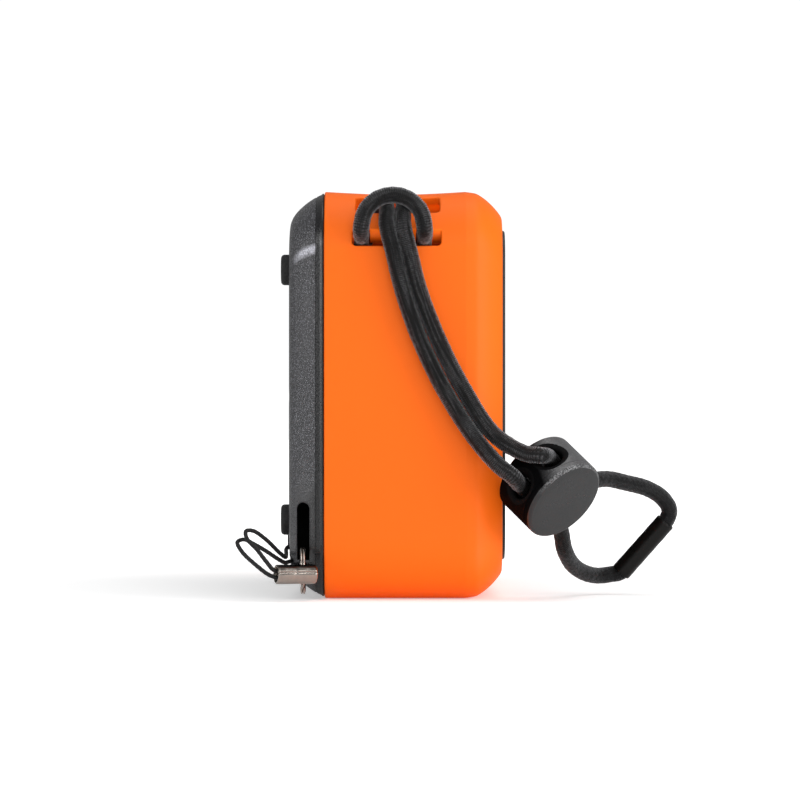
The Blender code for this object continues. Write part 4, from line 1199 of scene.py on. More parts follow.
RING_AT = Vector(joint("ring_spin")["pos_m"]) / MM
RING_LOW, RING_HIGH = box_mm("split_ring")
RING_R = (RING_HIGH.x - RING_LOW.x) / 2 - (RING_HIGH.y - RING_LOW.y) / 2


def ring_channel(radius, count=72):
    """Cutter for the channel in which the ring turns."""
    path = []
    for i in range(count):
        turn = 2 * math.pi * i / count
        path.append(RING_AT + Vector((RING_R * math.cos(turn), 0, RING_R * math.sin(turn))))
    return sweep(path, 1.0, radius, 20, True)


carve(rear, ring_channel(1.1))

# recesses for the port plug, its tongue and pin, its strip and its eye
PLUG_HIGH = box_mm("port_plug")[1]
PLUG_W, PLUG_H = 24.0, 10.0
PLUG_X, PLUG_Z = PLUG_HIGH.x - PLUG_W / 2, PLUG_HIGH.z - PLUG_H / 2
TONGUE_X, PIN_X = PLUG_X - 4.5, PLUG_X + 7.0
EYE_X, EYE_Z = -51.4, 12.2
STRIP_X = -46.0
flat_recess(PLUG_X, PLUG_Z, PLUG_W + 0.6, PLUG_H + 0.6, 3.3, 24.0, 0.3)
carve(rear, plate(rounded(TONGUE_X, PLUG_Z, 8.6, 4.0, 1.2), 20.0, 30.0))
flat_recess(STRIP_X, EYE_Z, 12.0, 3.2, 1.2, 24.25, 0.25, 6)
flat_recess(-52.0, 11.3, 8.2, 7.2, 2.6, 23.3, 0.3)
carve(rear, plate(circle(PIN_X, PLUG_Z, 2.3), 20.0, 30.0))
bake(rear)
stand_for(rear, "root", "rear_housing")

# ---------------------------------------------------------------- grille
GRILLE_FRONT, GRILLE_BACK = GRILLE_LOW.y, GRILLE_HIGH.y
rows = [
    (GRILLE_BACK, GRILLE_INSET + 0.1, 7.9, 0.0),
    (GRILLE_BACK - 0.15, GRILLE_INSET, GRILLE_R, 0.0),
]
for drop, inset in round_over(0.55, 0.55, [90 * i / 6 for i in range(7)]):
    rows.append((GRILLE_FRONT + drop, GRILLE_INSET + inset, GRILLE_R - inset, 0.0))
grille = make("grille", skin(stations(rows)), "grille_steel", "acoustic_cloth")
carve(grille, plate(outline(GRILLE_INSET + 1.4, 6.8, 12), GRILLE_FRONT + 0.8, -20.0))
SLOT_COLUMNS, SLOT_ROWS, SLOT_PITCH = (-26.0, 26.0), 9, 7.2
SLOT_W, SLOT_H, SLOT_R = 47.0, 2.6, 1.29
for x in SLOT_COLUMNS:
    for row in range(SLOT_ROWS):
        z = MID_Z + (row - 4) * SLOT_PITCH
        rings = []
        for depth, offset in flare(0.3, 3.0, steps=3):
            width, height = SLOT_W + 2 * offset, SLOT_H + 2 * offset
            points = rounded(x, z, width, height, SLOT_R + offset, 6)
            rings.append(at_y(points, GRILLE_FRONT + depth))
        carve(grille, skin(rings))
bake(grille, 35)


def back_with_cloth():
    """Joins a sheet of cloth to the grille, just behind its slotted face."""
    points = [mm(x, z) for x, z in outline(GRILLE_INSET + 1.7, 6.5, 10)]
    sheet = plate(points, (GRILLE_FRONT + 0.85) * MM, (GRILLE_FRONT + 1.05) * MM)
    bmesh.ops.recalc_face_normals(sheet, faces=sheet.faces)
    for face in sheet.faces:
        face.material_index = 1
    sheet_mesh = bpy.data.meshes.new("sheet")
    sheet.to_mesh(sheet_mesh)
    sheet.free()
    joined = bmesh.new()
    joined.from_mesh(grille.data)
    joined.from_mesh(sheet_mesh)
    joined.to_mesh(grille.data)
    joined.free()
    bpy.data.meshes.remove(sheet_mesh)


back_with_cloth()
stand_for(grille, "root", "front_grille")


# ---------------------------------------------------------------- keys
MARK_W = 0.55


def bar(x0, y0, x1, y1, width=MARK_W):
    """Outline of a straight bar with round ends."""
    start, end = Vector((x0, y0)), Vector((x1, y1))
    along = (end - start).normalized()
    heading = math.atan2(along.y, along.x)
    points = []
    for centre, first in ((end, heading - math.pi / 2), (start, heading + math.pi / 2)):
        for i in range(9):
            turn = first + math.pi * i / 8
            p = centre + Vector((math.cos(turn), math.sin(turn))) * (width / 2)
            points.append((p.x, p.y))
    return points


def arc_bar(x, y, radius, start, end, steps=20):
    """Outline of a bar bent round (x, y), between angles in degrees."""
    points = []
    for reach, a, b in ((radius + MARK_W / 2, start, end), (radius - MARK_W / 2, end, start)):
        for i in range(steps + 1):
            turn = math.radians(a + (b - a) * i / steps)
            points.append((x + reach * math.cos(turn), y + reach * math.sin(turn)))
    return points


def key_symbol(n, x, y):
    """Outlines of the symbol on key n, about (x, y)."""
    if n == 1:  # power: a broken ring and a bar
        return [arc_bar(x, y, 1.5, 125, 415), bar(x, y + 0.5, x, y + 1.9)]
    if n == 2:  # minus
        return [bar(x - 1.5, y, x + 1.5, y)]
    if n == 3:  # play and pause
        return [
            [(x - 2.3, y - 1.4), (x - 0.1, y), (x - 2.3, y + 1.4)],
            bar(x + 0.9, y - 1.15, x + 0.9, y + 1.15),
            bar(x + 2.1, y - 1.15, x + 2.1, y + 1.15),
        ]
    if n == 4:  # plus
        return [
            bar(x - 1.5, y, x + 1.5, y),
            bar(x, y - 1.5, x, y - 0.35),
            bar(x, y + 0.35, x, y + 1.5),
        ]
    # pairing: a dot and two waves
    return [
        bar(x - 1.6, y, x - 1.59, y, 0.8),
        arc_bar(x - 1.6, y, 1.7, -45, 45),
        arc_bar(x - 1.6, y, 3.0, -45, 45),
    ]


for n, (x, y) in enumerate(KEY_CENTRES, 1):
    base_z = KEY_BOXES[n - 1][0].z
    flange_z = base_z + 0.6
    # (z, inset, corner radius), from the flange up to the dished top
    rows = [
        (base_z, -0.9, 2.8),
        (flange_z, -0.9, 2.8),
        (flange_z, 0.0, 2.0),
        (KEY_TOP - 0.55, 0.0, 2.0),
    ]
    for drop, inset in round_over(0.2, 0.5, [90 * i / 5 for i in range(1, 6)]):
        rows.append((KEY_TOP - 0.3 - drop, inset, 2.0 - inset))
    rows += [(KEY_TOP - 0.24, 1.2, 1.4), (KEY_TOP - 0.28, 2.4, 0.9)]
    shape = skin([
        at_z(rounded(x, y, KEY_W - 2 * inset, KEY_D - 2 * inset, max(radius, 0.4), 6), z)
        for z, inset, radius in rows
    ])
    body_faces = len(shape.faces)
    for points in key_symbol(n, x, y):
        skin([at_z(points, z) for z in (KEY_TOP - 0.5, KEY_TOP - 0.12)], shape=shape)
    shape.faces.ensure_lookup_table()
    for face in shape.faces[body_faces:]:
        face.material_index = 1
    key = make(f"key_cap_{n}", shape, "orange_shell", "key_mark", angle=40)
    stand_for(key, f"key_{n}", f"button_{n}")

# (radius, z)
LED_BASE, LED_TIP = LED_BOX[0].z, LED_BOX[1].z
LED_PROFILE = [(1.6, LED_BASE), (1.6, 92.55), (1.5, 92.6), (0.85, 92.62),
               (0.85, LED_TIP - 0.3), (0.75, LED_TIP - 0.1), (0.45, LED_TIP), (0.05, LED_TIP)]
light_rings = [at_z(circle(LED_X, LED_Y, radius, 28), z) for radius, z in LED_PROFILE]
stand_for(make("status_light", skin(light_rings), "light_pipe"), "root", "led_light_pipe")

# ---------------------------------------------------------------- feet and screws
FOOT_PROUD = 0.28  # beyond the CAD foot's tip
for n, (x, z, radius, base, tip) in enumerate(FEET, 1):
    tip += FOOT_PROUD
    # (radius, y): round shoulder, then a shallow groove and a dished tip
    profile = [(0.02, base), (radius - 0.15, base), (radius, base + 0.12), (radius, tip - 1.1)]
    for drop, inset in round_over(0.85, 0.85, (0, 18, 36, 54, 72, 90)):
        profile.append((radius - inset, tip - drop))
    profile += [
        (radius - 1.0, tip),
        (radius - 1.15, tip - 0.12),
        (radius - 1.3, tip - 0.12),
        (radius - 1.45, tip),
        (radius - 2.0, tip),
        (0.6, tip - 0.12),
        (0.02, tip - 0.14),
    ]
    foot = make(f"foot_{n}", revolved(profile, x, z, 48), "black_rubber", angle=30)
    stand_for(foot, "root", f"rear_foot_{n}")

THREAD_PITCH, THREAD_ROOT, THREAD_R = 0.6, 0.85, 1.1
for n, ((x, z), (low, high)) in enumerate(zip(SCREWS, SCREW_BOXES), 1):
    top, radius = high.y, (high.x - low.x) / 2
    profile = [(0.02, low.y)]
    for y in climb(low.y, top - 5.0, THREAD_PITCH):
        profile += [(THREAD_ROOT, y), (THREAD_R, y + 0.22), (THREAD_R, y + 0.3),
                    (THREAD_ROOT, y + 0.5)]
    profile += [(THREAD_R, top - 4.6), (THREAD_R, top - 1.1), (radius - 0.05, top - 1.1),
                (radius, top - 1.0), (radius, top - 0.6)]
    for degrees in (18, 36, 54, 72, 86):
        turn = math.radians(degrees)
        profile.append((radius * math.cos(turn), top - 0.6 + 0.6 * math.sin(turn)))
    screw = make(f"screw_{n}", revolved(profile, x, z, 28), "zinc_steel", angle=40)
    for width, height in ((0.55, 2.5), (2.5, 0.55)):  # the cross in the head
        carve(screw, skin([
            at_y(rounded(x, z, width * 0.8, height * 0.8, 0.1, 2), top - 0.95),
            at_y(rounded(x, z, width, height, 0.12, 2), top + 0.3),
        ]))
    bake(screw)
    stand_for(screw, "root", f"housing_screw_{n}")

# ---------------------------------------------------------------- port plug
FACE = PLUG_HIGH.y
# (y, inset, corner radius)
rows = [(24.3, 0.15, 2.85), (24.4, 0.0, 3.0), (FACE - 0.45, 0.0, 3.0)]
for drop, inset in round_over(0.45, 0.45, (30, 60, 90)):
    rows.append((FACE - drop, inset, 3.0 - inset))
rows += [(FACE, 0.9, 2.1), (FACE - 0.25, 1.3, 1.7), (FACE - 0.25, 1.6, 1.4)]
plug = make(
    "plug_cover",
    skin([
        at_y(rounded(PLUG_X, PLUG_Z, PLUG_W - 2 * inset, PLUG_H - 2 * inset, radius), y)
        for y, inset, radius in rows
    ]),
    "black_rubber",
)
RIDGE_X, RIDGE_PITCH = PLUG_X + PLUG_W / 2 - 5.2, 1.3
for k in range(-2, 3):
    x = RIDGE_X + k * RIDGE_PITCH
    carve(plug, skin([
        at_y(rounded(x, PLUG_Z, 0.55 - inset, 5.6 - inset, 0.25 - inset / 2, 4), y)
        for y, inset in ((FACE - 0.6, 0.0), (FACE - 0.1, 0.0), (FACE - 0.01, 0.16))
    ]), "UNION")
carve(plug, plate(rounded(TONGUE_X, PLUG_Z, 6.8, 2.2, 0.6), 20.0, 24.6), "UNION")
carve(plug, plate(circle(PIN_X, PLUG_Z, 1.5, 24), 19.5, 24.6), "UNION")
carve(plug, plate(rounded(STRIP_X, EYE_Z, 11.0, 2.4, 1.15), 24.6, 25.2), "UNION")
carve(plug, plate(circle(EYE_X, EYE_Z, 2.2), 24.6, 25.2), "UNION")
EYE_HOLE = [(24.3, 1.7), (24.75, 1.25), (25.05, 1.25), (25.5, 1.7)]  # (y, radius)
carve(plug, skin([at_y(circle(EYE_X, EYE_Z, radius, 24), y) for y, radius in EYE_HOLE]))
bake(plug)
stand_for(plug, "plug", "port_plug")


# ---------------------------------------------------------------- split ring and ferrule
def squared(value):
    """Flattens a sine or cosine, for a section between round and square."""
    return math.copysign(abs(value) ** 0.75, value)


def split_ring():
    """Two turns of flattened wire side by side, with the crossover where they swap."""
    count, turns, first_angle = 220, 1.97, 4.0
    half_pitch, half_cross = 0.31, 0.28  # mm along Y, radians of the crossover
    half_wide, half_thick = 0.56, 0.29
    rings = []
    for i in range(count + 1):
        turn = turns * 2 * math.pi * i / count
        side = max(-1.0, min(1.0, (turn - 2 * math.pi * turns / 2) / half_cross))
        side = side * (1.5 - 0.5 * side * side)
        angle = turn + first_angle
        centre = RING_AT + Vector(
            (RING_R * math.cos(angle), half_pitch * side, RING_R * math.sin(angle))
        )
        out = centre - RING_AT
        out = Vector((out.x, 0, out.z)).normalized()
        taper = min(1.0, 0.55 + 0.45 * min(i, count - i) / 4)
        rings.append([
            centre
            + out * (half_wide * taper * squared(math.cos(a)))
            + Vector((0, 1, 0)) * (half_thick * taper * squared(math.sin(a)))
            for a in [2 * math.pi * k / 16 for k in range(16)]
        ])
    return skin(rings)


stand_for(make("key_ring", split_ring(), "nickel", angle=40), "ring", "split_ring")

FERRULE_AT = Vector((RING_AT.x - RING_R - 0.35, RING_AT.y, RING_AT.z - 0.6))
FERRULE_YAW = math.radians(18)
FERRULE_DIR = Vector((-math.sin(FERRULE_YAW), math.cos(FERRULE_YAW), 0))
FERRULE_SIDE = Vector((math.cos(FERRULE_YAW), math.sin(FERRULE_YAW), 0))
FERRULE_R = 2.3


def hump(value, centre, width):
    return math.exp(-(((value - centre) / width) ** 2))


def crimped_tube(profile, seam=0.0, steps=96):
    """Pinched tube from (distance along, radius) rows. seam is the depth of the rolled
    seam on the side away from the housing."""
    rings = []
    for along, radius in profile:
        centre = FERRULE_AT + FERRULE_DIR * along
        pinch = hump(along, 1.6, 1.1) * 0.12
        ring = []
        for i in range(steps):
            angle = 2 * math.pi * i / steps
            degrees = math.degrees(angle)
            groove = hump(degrees, 166.0, 3.2) * seam * (0.65 + 0.35 * math.sin(along * 7.0))
            lip = hump(degrees, 156.0, 4.0) * seam * 0.3
            reach = radius - groove + lip
            across = reach * (1 - pinch * 0.6) * math.cos(angle)
            up = reach * (1 - pinch * 0.15) * math.sin(angle)
            ring.append(centre + FERRULE_SIDE * across + Vector((0, 0, up)))
        rings.append(ring)
    return skin(rings)


FERRULE_OUTER = [(-3.2, 1.75), (-3.16, 1.95), (-3.05, 2.12), (-2.88, 2.24), (-2.65, FERRULE_R)]
FERRULE_OUTER += [(-2.3 + 0.3 * k, FERRULE_R) for k in range(28)]
FERRULE_OUTER += [(6.15, FERRULE_R), (6.32, 2.27), (6.44, 2.18), (6.5, 2.05)]
FERRULE_BORE = [(-2.4, 1.6), (-2.0, 1.75), (0.4, 1.75), (1.6, 1.8), (2.8, 1.75), (6.2, 1.75),
                (6.4, 1.85), (8.0, 2.5)]
ferrule = make("ferrule", crimped_tube(FERRULE_OUTER, seam=0.22), "ferrule_nickel", angle=40)
carve(ferrule, crimped_tube(FERRULE_BORE))
carve(ferrule, ring_channel(1.0))
bake(ferrule, 35)
stand_for(ferrule, "root", "tether_ferrule")

# ---------------------------------------------------------------- tether
# the cord's centre line (x, y, z) for a ring centred at TETHER_RING: from the ferrule,
# through the plug's eye and back
TETHER_RING = Vector((-63.6, 21.75, 6.95))
TETHER_POINTS = [
    (-69.7, 24.2, 7.0), (-70.4, 26.6, 7.0), (-71.0, 28.4, 7.4), (-70.6, 30.2, 9.4),
    (-69.0, 32.3, 12.0), (-67.0, 34.8, 14.6), (-65.2, 35.1, 16.3), (-63.6, 33.4, 16.3),
    (-61.0, 30.3, 14.0), (-58.6, 27.5, 11.1), (-56.6, 26.1, 9.9), (-54.2, 25.95, 10.6),
    (-52.2, 25.95, 11.7), (-51.35, 25.2, 12.3), (-51.4, 24.2, 11.9), (-51.9, 23.9, 9.9),
    (-53.4, 24.3, 9.0), (-55.0, 25.5, 8.7), (-56.8, 26.2, 8.6), (-58.6, 27.9, 9.6),
    (-60.2, 30.3, 11.3), (-62.2, 33.2, 13.1), (-64.0, 35.6, 14.3), (-65.8, 37.1, 13.7),
    (-67.4, 36.0, 11.6), (-69.5, 32.5, 8.4), (-70.9, 29.2, 6.1), (-70.4, 26.6, 5.5),
    (-69.7, 24.2, 5.6),
]
TETHER_R = 0.5
tether_shift = RING_AT - TETHER_RING
path = catmull([Vector(p) + tether_shift for p in TETHER_POINTS], 14, False)
path, length = evenly(path, 420, False)


def tether_wobble(u, v):
    return 0.018 * math.sin(2 * math.pi * (u * 0.8 + 3 * v))


shape = sweep(path, length, TETHER_R, 14, False, tether_wobble)
tether = make("tether", shape, "tether_cord", angle=60)
mm(-60.0, 27.0, 12.0)
mm(-53.0, 27.0, 12.0)
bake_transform(tether)
stand_for(tether, None, "tether_cord")

# ---------------------------------------------------------------- cord lock
# The lock's own axes: ACROSS sets its two cord holes apart, ALONG is the way it slides and
# the holes run, and LOCK_AXIS points out of its closed face.
LOCK_AXIS = Vector(joint("plunger_press")["axis"]).normalized()
ALONG = Vector(joint("cord_lock_slide")["axis"]).normalized()
ACROSS = ALONG.cross(LOCK_AXIS).normalized()
if ACROSS.z < 0:
    ACROSS = -ACROSS
LOCK_R = 10.0 + 0.5  # the moulded skin stands a little proud of the plain cylinder
LOCK_LENGTH, PLUNGER_R = 12.0, 7.8
HOLE_DEPTH, HOLE_OFFSET = 6.4, 4.7
BARREL_POINTS = [v.co / MM for v in frame["nodes"]["cord_lock_barrel"].data.vertices]


def middle_along(direction):
    spread = [p.dot(direction) for p in BARREL_POINTS]
    return (min(spread) + max(spread)) / 2


LOCK_FACE = (
    ACROSS * middle_along(ACROSS)
    + ALONG * middle_along(ALONG)
    + LOCK_AXIS * max(p.dot(LOCK_AXIS) for p in BARREL_POINTS)
)


def lock_point(across, along, depth):
    return LOCK_FACE + ACROSS * across + ALONG * along - LOCK_AXIS * depth


def lock_solid(rows, steps=72):
    """A solid about the lock's axis, from (depth, radius) rows."""
    return skin([
        [lock_point(across, along, depth) for across, along in circle(0.0, 0.0, radius, steps)]
        for depth, radius in rows
    ])


def lock_bore(across, radius, edge, body_r, stretch=0.0, steps=32):
    """A cord hole right across the lock, rounded at both mouths on a body of radius body_r.
    stretch lengthens it towards the open end."""

    def oval(offset):
        points = []
        for i in range(steps):
            turn = 2 * math.pi * i / steps
            deep = (radius + offset) * math.sin(turn)
            points.append((
                across + (radius + offset) * math.cos(turn),
                HOLE_DEPTH + deep + (stretch if deep > 1e-9 else 0.0),
            ))
        return points

    def mouth(offset, depth, sign):
        ring = []
        for u, v in oval(offset):
            surface = math.sqrt(max(body_r**2 - u**2, 0.5))
            ring.append(lock_point(u, sign * (surface - depth), v))
        return ring

    rows = flare(edge, 2.6 if edge < 1 else edge + 1.6, steps=6, last=62, out=0.25)
    widest = oval(rows[-1][1])
    rings = [[lock_point(u, -body_r - 6, v) for u, v in widest]]
    rings += [mouth(offset, depth, -1) for depth, offset in reversed(rows)]
    rings += [mouth(offset, depth, 1) for depth, offset in rows]
    rings += [[lock_point(u, body_r + 6, v) for u, v in widest]]
    return skin(rings)


def rounded_edge(radius, depth, edge, outward, steps):
    """(depth, radius) rows of a rounded rim. outward is +1 where depth grows to the edge."""
    angles = [90 * i / steps for i in range(steps + 1)]
    return [(depth - outward * d, radius - i) for d, i in round_over(edge, edge, angles)]


rows = [(0.0, 0.3), (-0.12, LOCK_R - 3.0), (0.0, LOCK_R - 1.5)]
rows += rounded_edge(LOCK_R, 0.0, 0.85, -1, 6)[::-1]
rows += [(1.95, LOCK_R), (2.02, LOCK_R - 0.12), (2.16, LOCK_R - 0.12), (2.23, LOCK_R)]
rows += rounded_edge(LOCK_R, LOCK_LENGTH, 0.6, 1, 5)
shape = lock_solid(rows)
for face in shape.faces:
    depth = -(face.calc_center_median() - LOCK_FACE).dot(LOCK_AXIS)
    face.material_index = 1 if depth > 0.84 else 2 if depth > 0.02 else 0
barrel = make("lock_barrel", shape, "lock_plastic", "lock_flank", "lock_rim", angle=30)
BORE_R = PLUNGER_R + GAP
carve(barrel, lock_solid([
    (1.2, BORE_R),
    (LOCK_LENGTH - 0.5, BORE_R),
    (LOCK_LENGTH - 0.15, BORE_R + 0.15),
    (LOCK_LENGTH + 5, BORE_R + 2.0),
]))
for side in (-1, 1):
    # painted shade: the walls of the cord holes get the near-black recess material
    carve(barrel, tool(lock_bore(side * HOLE_OFFSET, 2.45, 2.1, LOCK_R), "recess"))
bake(barrel, 32)
stand_for(barrel, "cord_lock", "cord_lock_barrel")

rows = [(3.2, PLUNGER_R - 0.3), (3.5, PLUNGER_R), (LOCK_LENGTH + 1.0, PLUNGER_R)]
rows += rounded_edge(PLUNGER_R, LOCK_LENGTH + 2.0, 0.9, 1, 6)
rows += [(LOCK_LENGTH + 2.0, 5.6), (LOCK_LENGTH + 1.75, 5.0), (LOCK_LENGTH + 1.6, 3.0),
         (LOCK_LENGTH + 1.55, 0.3)]
plunger = make("lock_button", lock_solid(rows), "lock_plastic", angle=30)
carve(plunger, lock_solid([(2.0, 2.0), (9.0, 2.0)], 32))
for side in (-1, 1):
    carve(plunger, lock_bore(side * HOLE_OFFSET, 2.15, 0.2, PLUNGER_R, stretch=2.1))
bake(plunger, 32)
stand_for(plunger, "lock_plunger", "cord_lock_plunger")

SPRING_TOP, SPRING_END = 1.75, 8.6  # depths
SPRING_LENGTH = SPRING_END - SPRING_TOP
COIL_R, COIL_WIRE_R = 1.45, 0.22
COIL_TURNS, COIL_STEPS = 5, 36
coil = []
for i in range(COIL_TURNS * COIL_STEPS + 1):
    turn = 2 * math.pi * i / COIL_STEPS
    depth = SPRING_TOP + SPRING_LENGTH * i / (COIL_TURNS * COIL_STEPS)
    coil.append(lock_point(COIL_R * math.cos(turn), COIL_R * math.sin(turn), depth))
spring = make("lock_spring", sweep(coil, 50.0, COIL_WIRE_R, 12, False), "zinc_steel", angle=60)
stand_for(spring, "cord_lock", "cord_lock_spring")
PLUNGE = max(abs(v) for v in joint("plunger_press")["range_m"]) / MM
tuple(lock_point(0, 0, SPRING_TOP) * MM)
(SPRING_LENGTH - PLUNGE) / SPRING_LENGTH
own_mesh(spring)

# ---------------------------------------------------------------- bungee cord
# the points (x, y, z) below are for a strap that swings about STRAP_PIVOT
STRAP_PIVOT = Vector((-63.3, 0.0, 88.85))
STRAP_SHIFT = Vector(joint("strap_swing")["pos_m"]) / MM - STRAP_PIVOT
UPPER, LOWER = 1, -1  # the lock's two holes
ARCH_X, ARCH_Y, ARCH_Z, ARCH_R = -68.5, 0.6, 87.7, 7.4
# one turn of the cord round the housing's bar: (x, share of the way from y_top to y_leg, z)
BAR_TURN = [
    (-66.8, 0.0, 90.6), (-64.9, 0.0, 92.5), (-62.5, 0.05, 93.2), (-60.3, 0.2, 92.0),
    (-59.2, 0.42, 89.8), (-59.3, 0.66, 86.9), (-60.1, 0.86, 84.2), (-61.6, 0.98, 83.0),
    (-63.2, 1.0, 83.6), (-64.75, 1.0, 85.0), (-66.7, 1.0, 85.9),
]
STRAND_X = -68.2
# the two strands from the bar down to the lock
REAR_STRAND = [
    (STRAND_X, 2.0, 88.1), (STRAND_X, 0.6, 82.2), (STRAND_X, -1.7, 72.8),
    (STRAND_X, -5.6, 61.6), (-68.3, -10.9, 50.4), (-69.3, -17.9, 39.1),
    (-71.3, -24.0, 31.9), (-71.9, -27.4, 29.2),
]
FRONT_STRAND = [
    (STRAND_X, -1.8, 88.1), (STRAND_X, -3.2, 82.2), (STRAND_X, -5.6, 72.8),
    (STRAND_X, -9.9, 61.6), (-68.3, -15.5, 50.4), (-69.3, -23.0, 39.1),
    (-71.4, -30.4, 34.6), (-72.4, -33.8, 34.2),
]
SLEEVE_TOP, SLEEVE_LOW = Vector((-33.0, -65.4, 17.6)), Vector((-30.5, -54.7, 5.3))
# the loop beyond the lock, on both sides of the sleeve
LOOP_UPPER = [(-50.6, -46.2, 27.7), (-46.0, -50.6, 28.2), (-42.0, -55.4, 27.2),
              (-38.0, -60.8, 25.7), (-35.2, -64.6, 23.3), (-33.8, -66.3, 20.4)]
LOOP_LOWER = [(-30.3, -52.4, 4.8), (-32.0, -49.1, 4.5), (-35.5, -45.8, 5.3),
              (-40.0, -42.7, 7.4), (-46.0, -40.4, 11.4), (-50.0, -39.2, 16.5)]
HOLE_ALONG = (-9.5, -3.0, 3.0, 8.8)  # where the cord is held inside the lock's holes


def hole(side, along):
    return lock_point(side * HOLE_OFFSET, along, HOLE_DEPTH) - STRAP_SHIFT


def arch(degrees):
    turn = math.radians(degrees)
    return (ARCH_X, ARCH_Y + ARCH_R * math.cos(turn), ARCH_Z + ARCH_R * math.sin(turn))


def around_bar(y_top, y_leg):
    return [(x, y_top + (y_leg - y_top) * share, z) for x, share, z in BAR_TURN]


points = FRONT_STRAND[::-1]
points += around_bar(-1.75, -6.8)
points += [arch(degrees) for degrees in (180, 150, 120, 90, 60, 30, 0)]
points += around_bar(1.97, 8.0)[::-1]
points += REAR_STRAND
points += [hole(LOWER, along) for along in reversed(HOLE_ALONG)]
points += LOOP_LOWER[::-1]
points += [SLEEVE_LOW, SLEEVE_LOW.lerp(SLEEVE_TOP, 0.33), SLEEVE_LOW.lerp(SLEEVE_TOP, 0.67),
           SLEEVE_TOP]
points += LOOP_UPPER[::-1]
points += [hole(UPPER, along) for along in HOLE_ALONG]
CORD_R, TIGHT_R = 1.95, 1.76
CORD_STEPS = 1500
cord_path = catmull([Vector(p) + STRAP_SHIFT for p in points], 24, True)
cord_path, cord_length = evenly(cord_path, CORD_STEPS, True)


def cord_radius(along):
    """The cord is squeezed a little where it wraps the bar and where the lock grips it."""
    p = cord_path[min(round(along / cord_length * CORD_STEPS), CORD_STEPS - 1)]
    near_bar = min(max((p.x + 66.6) / 1.4, 0.0), 1.0) if p.z > 79 else 0.0
    off_axis = p - LOCK_FACE
    off_axis -= LOCK_AXIS * off_axis.dot(LOCK_AXIS)
    near_lock = 0.0
    if (p - LOCK_FACE).length < 22:
        near_lock = min(max((10.6 - off_axis.length) / 1.2, 0.0), 1.0)
    share = max(near_bar, near_lock)
    radius = CORD_R + (TIGHT_R - CORD_R) * share * share * (3 - 2 * share)
    return radius + 0.012 * math.sin(along * 0.9) + 0.01 * math.sin(along * 2.3 + 1.0)


def cord_wobble(u, v):
    return sum(0.016 * math.sin(2 * math.pi * (u * 0.55 + turns * v)) for turns in (5, -5))


shape = sweep(cord_path, cord_length, cord_radius, 30, True, cord_wobble)
cord = make("bungee", shape, "braided_cord", angle=70)
stand_for(cord, "strap", "bungee_cord")


def darken_near_lock():
    """The cord falls into shade where it goes into the lock's holes."""
    graph = Graph(M["braided_cord"].node_tree)
    shader = graph.tree.nodes["Principled BSDF"]
    tone = Value(graph, shader.inputs["Base Color"].links[0].from_socket)
    away = graph.add(
        "ShaderNodeVectorMath",
        {0: graph.coords(), 1: lock_point(0, 0, HOLE_DEPTH) * MM},
        out="Value",
        operation="DISTANCE",
    )
    lit = away.ramp(over=mm(10.5, 12.6))
    graph.shade(
        Base_Color=lit.mix((0.0006, 0.0006, 0.0006), tone),
        Specular_IOR_Level=lit.ramp(over=(0.0, 1.0), to=(0.02, 0.22)),
    )


darken_near_lock()

# ---------------------------------------------------------------- sleeve
sleeve_dir = (SLEEVE_TOP - SLEEVE_LOW).normalized()
sleeve_mid = (SLEEVE_TOP + SLEEVE_LOW) / 2 + STRAP_SHIFT
sleeve_across = sleeve_dir.orthogonal().normalized()
sleeve_side = sleeve_dir.cross(sleeve_across)
SLEEVE_R, SLEEVE_LENGTH = 2.42, 16.7
sleeve_half = SLEEVE_LENGTH / 2
# (distance in from the end, radius), from the bore round the lip to the outside
SLEEVE_LIP = [(0.5, 1.95), (0.06, 1.97), (0.0, 2.1), (0.04, 2.28), (0.2, 2.38), (0.5, SLEEVE_R)]
rows = [(-sleeve_half + inward, radius) for inward, radius in SLEEVE_LIP]
for along in climb(-sleeve_half + 1.1, sleeve_half - 0.6, 0.6):
    rows.append((along, SLEEVE_R + 0.02 * math.sin(along * 1.7) - 0.02))
rows += [(sleeve_half - inward, radius) for inward, radius in reversed(SLEEVE_LIP)]
rings = [
    [
        sleeve_mid + sleeve_dir * along + sleeve_across * across + sleeve_side * sideways
        for across, sideways in circle(0.0, 0.0, radius, 48)
    ]
    for along, radius in rows
]
sleeve = make("sleeve", skin(rings, closed_path=True), "sleeve_gloss", angle=50)
stand_for(sleeve, "strap", "cord_sleeve")

# ---------------------------------------------------------------- CAD nodes that stay
KEEP = {
    "main_gasket": "black_rubber",
    "driver_baffle": "black_plastic",
    "driver_basket": "zinc_steel",
    "driver_magnet": "ferrite",
    "driver_yoke": "zinc_steel",
    "driver_surround": "black_rubber",
    "driver_cone": "cone_paper",
    "voice_coil": "copper",
    "radiator_frame": "black_plastic",
    "radiator_plate": "black_plastic",
    "radiator_surround": "black_rubber",
    "main_pcb": "circuit_board",
    "radio_shield": "zinc_steel",
    "usb_socket": "zinc_steel",
    "aux_socket": "black_plastic",
    "battery_cell": "cell_wrap",
    "battery_holder": "black_plastic",
    "key_pcb": "circuit_board",
    "key_membrane": "black_rubber",
    "driver_cable": "cable_sheath",
    "battery_cable": "cable_sheath",
}
for name, material in KEEP.items():
    obj = frame["nodes"][name]
    if not obj.data.materials:
        obj.data.materials.append(M[material])
    for slot in obj.material_slots:
        slot.material = M[material]

# ---------------------------------------------------------------- floor
scene = bpy.context.scene
shape = bmesh.new()
bmesh.ops.create_grid(shape, x_segments=8, y_segments=8, size=4.0)
floor_mesh = bpy.data.meshes.new("floor")
shape.to_mesh(floor_mesh)
shape.free()
floor = bpy.data.objects.new("floor", floor_mesh)
floor.location = (0, 0, SHELL_LOW.z * MM - 0.0001)
scene.collection.objects.link(floor)


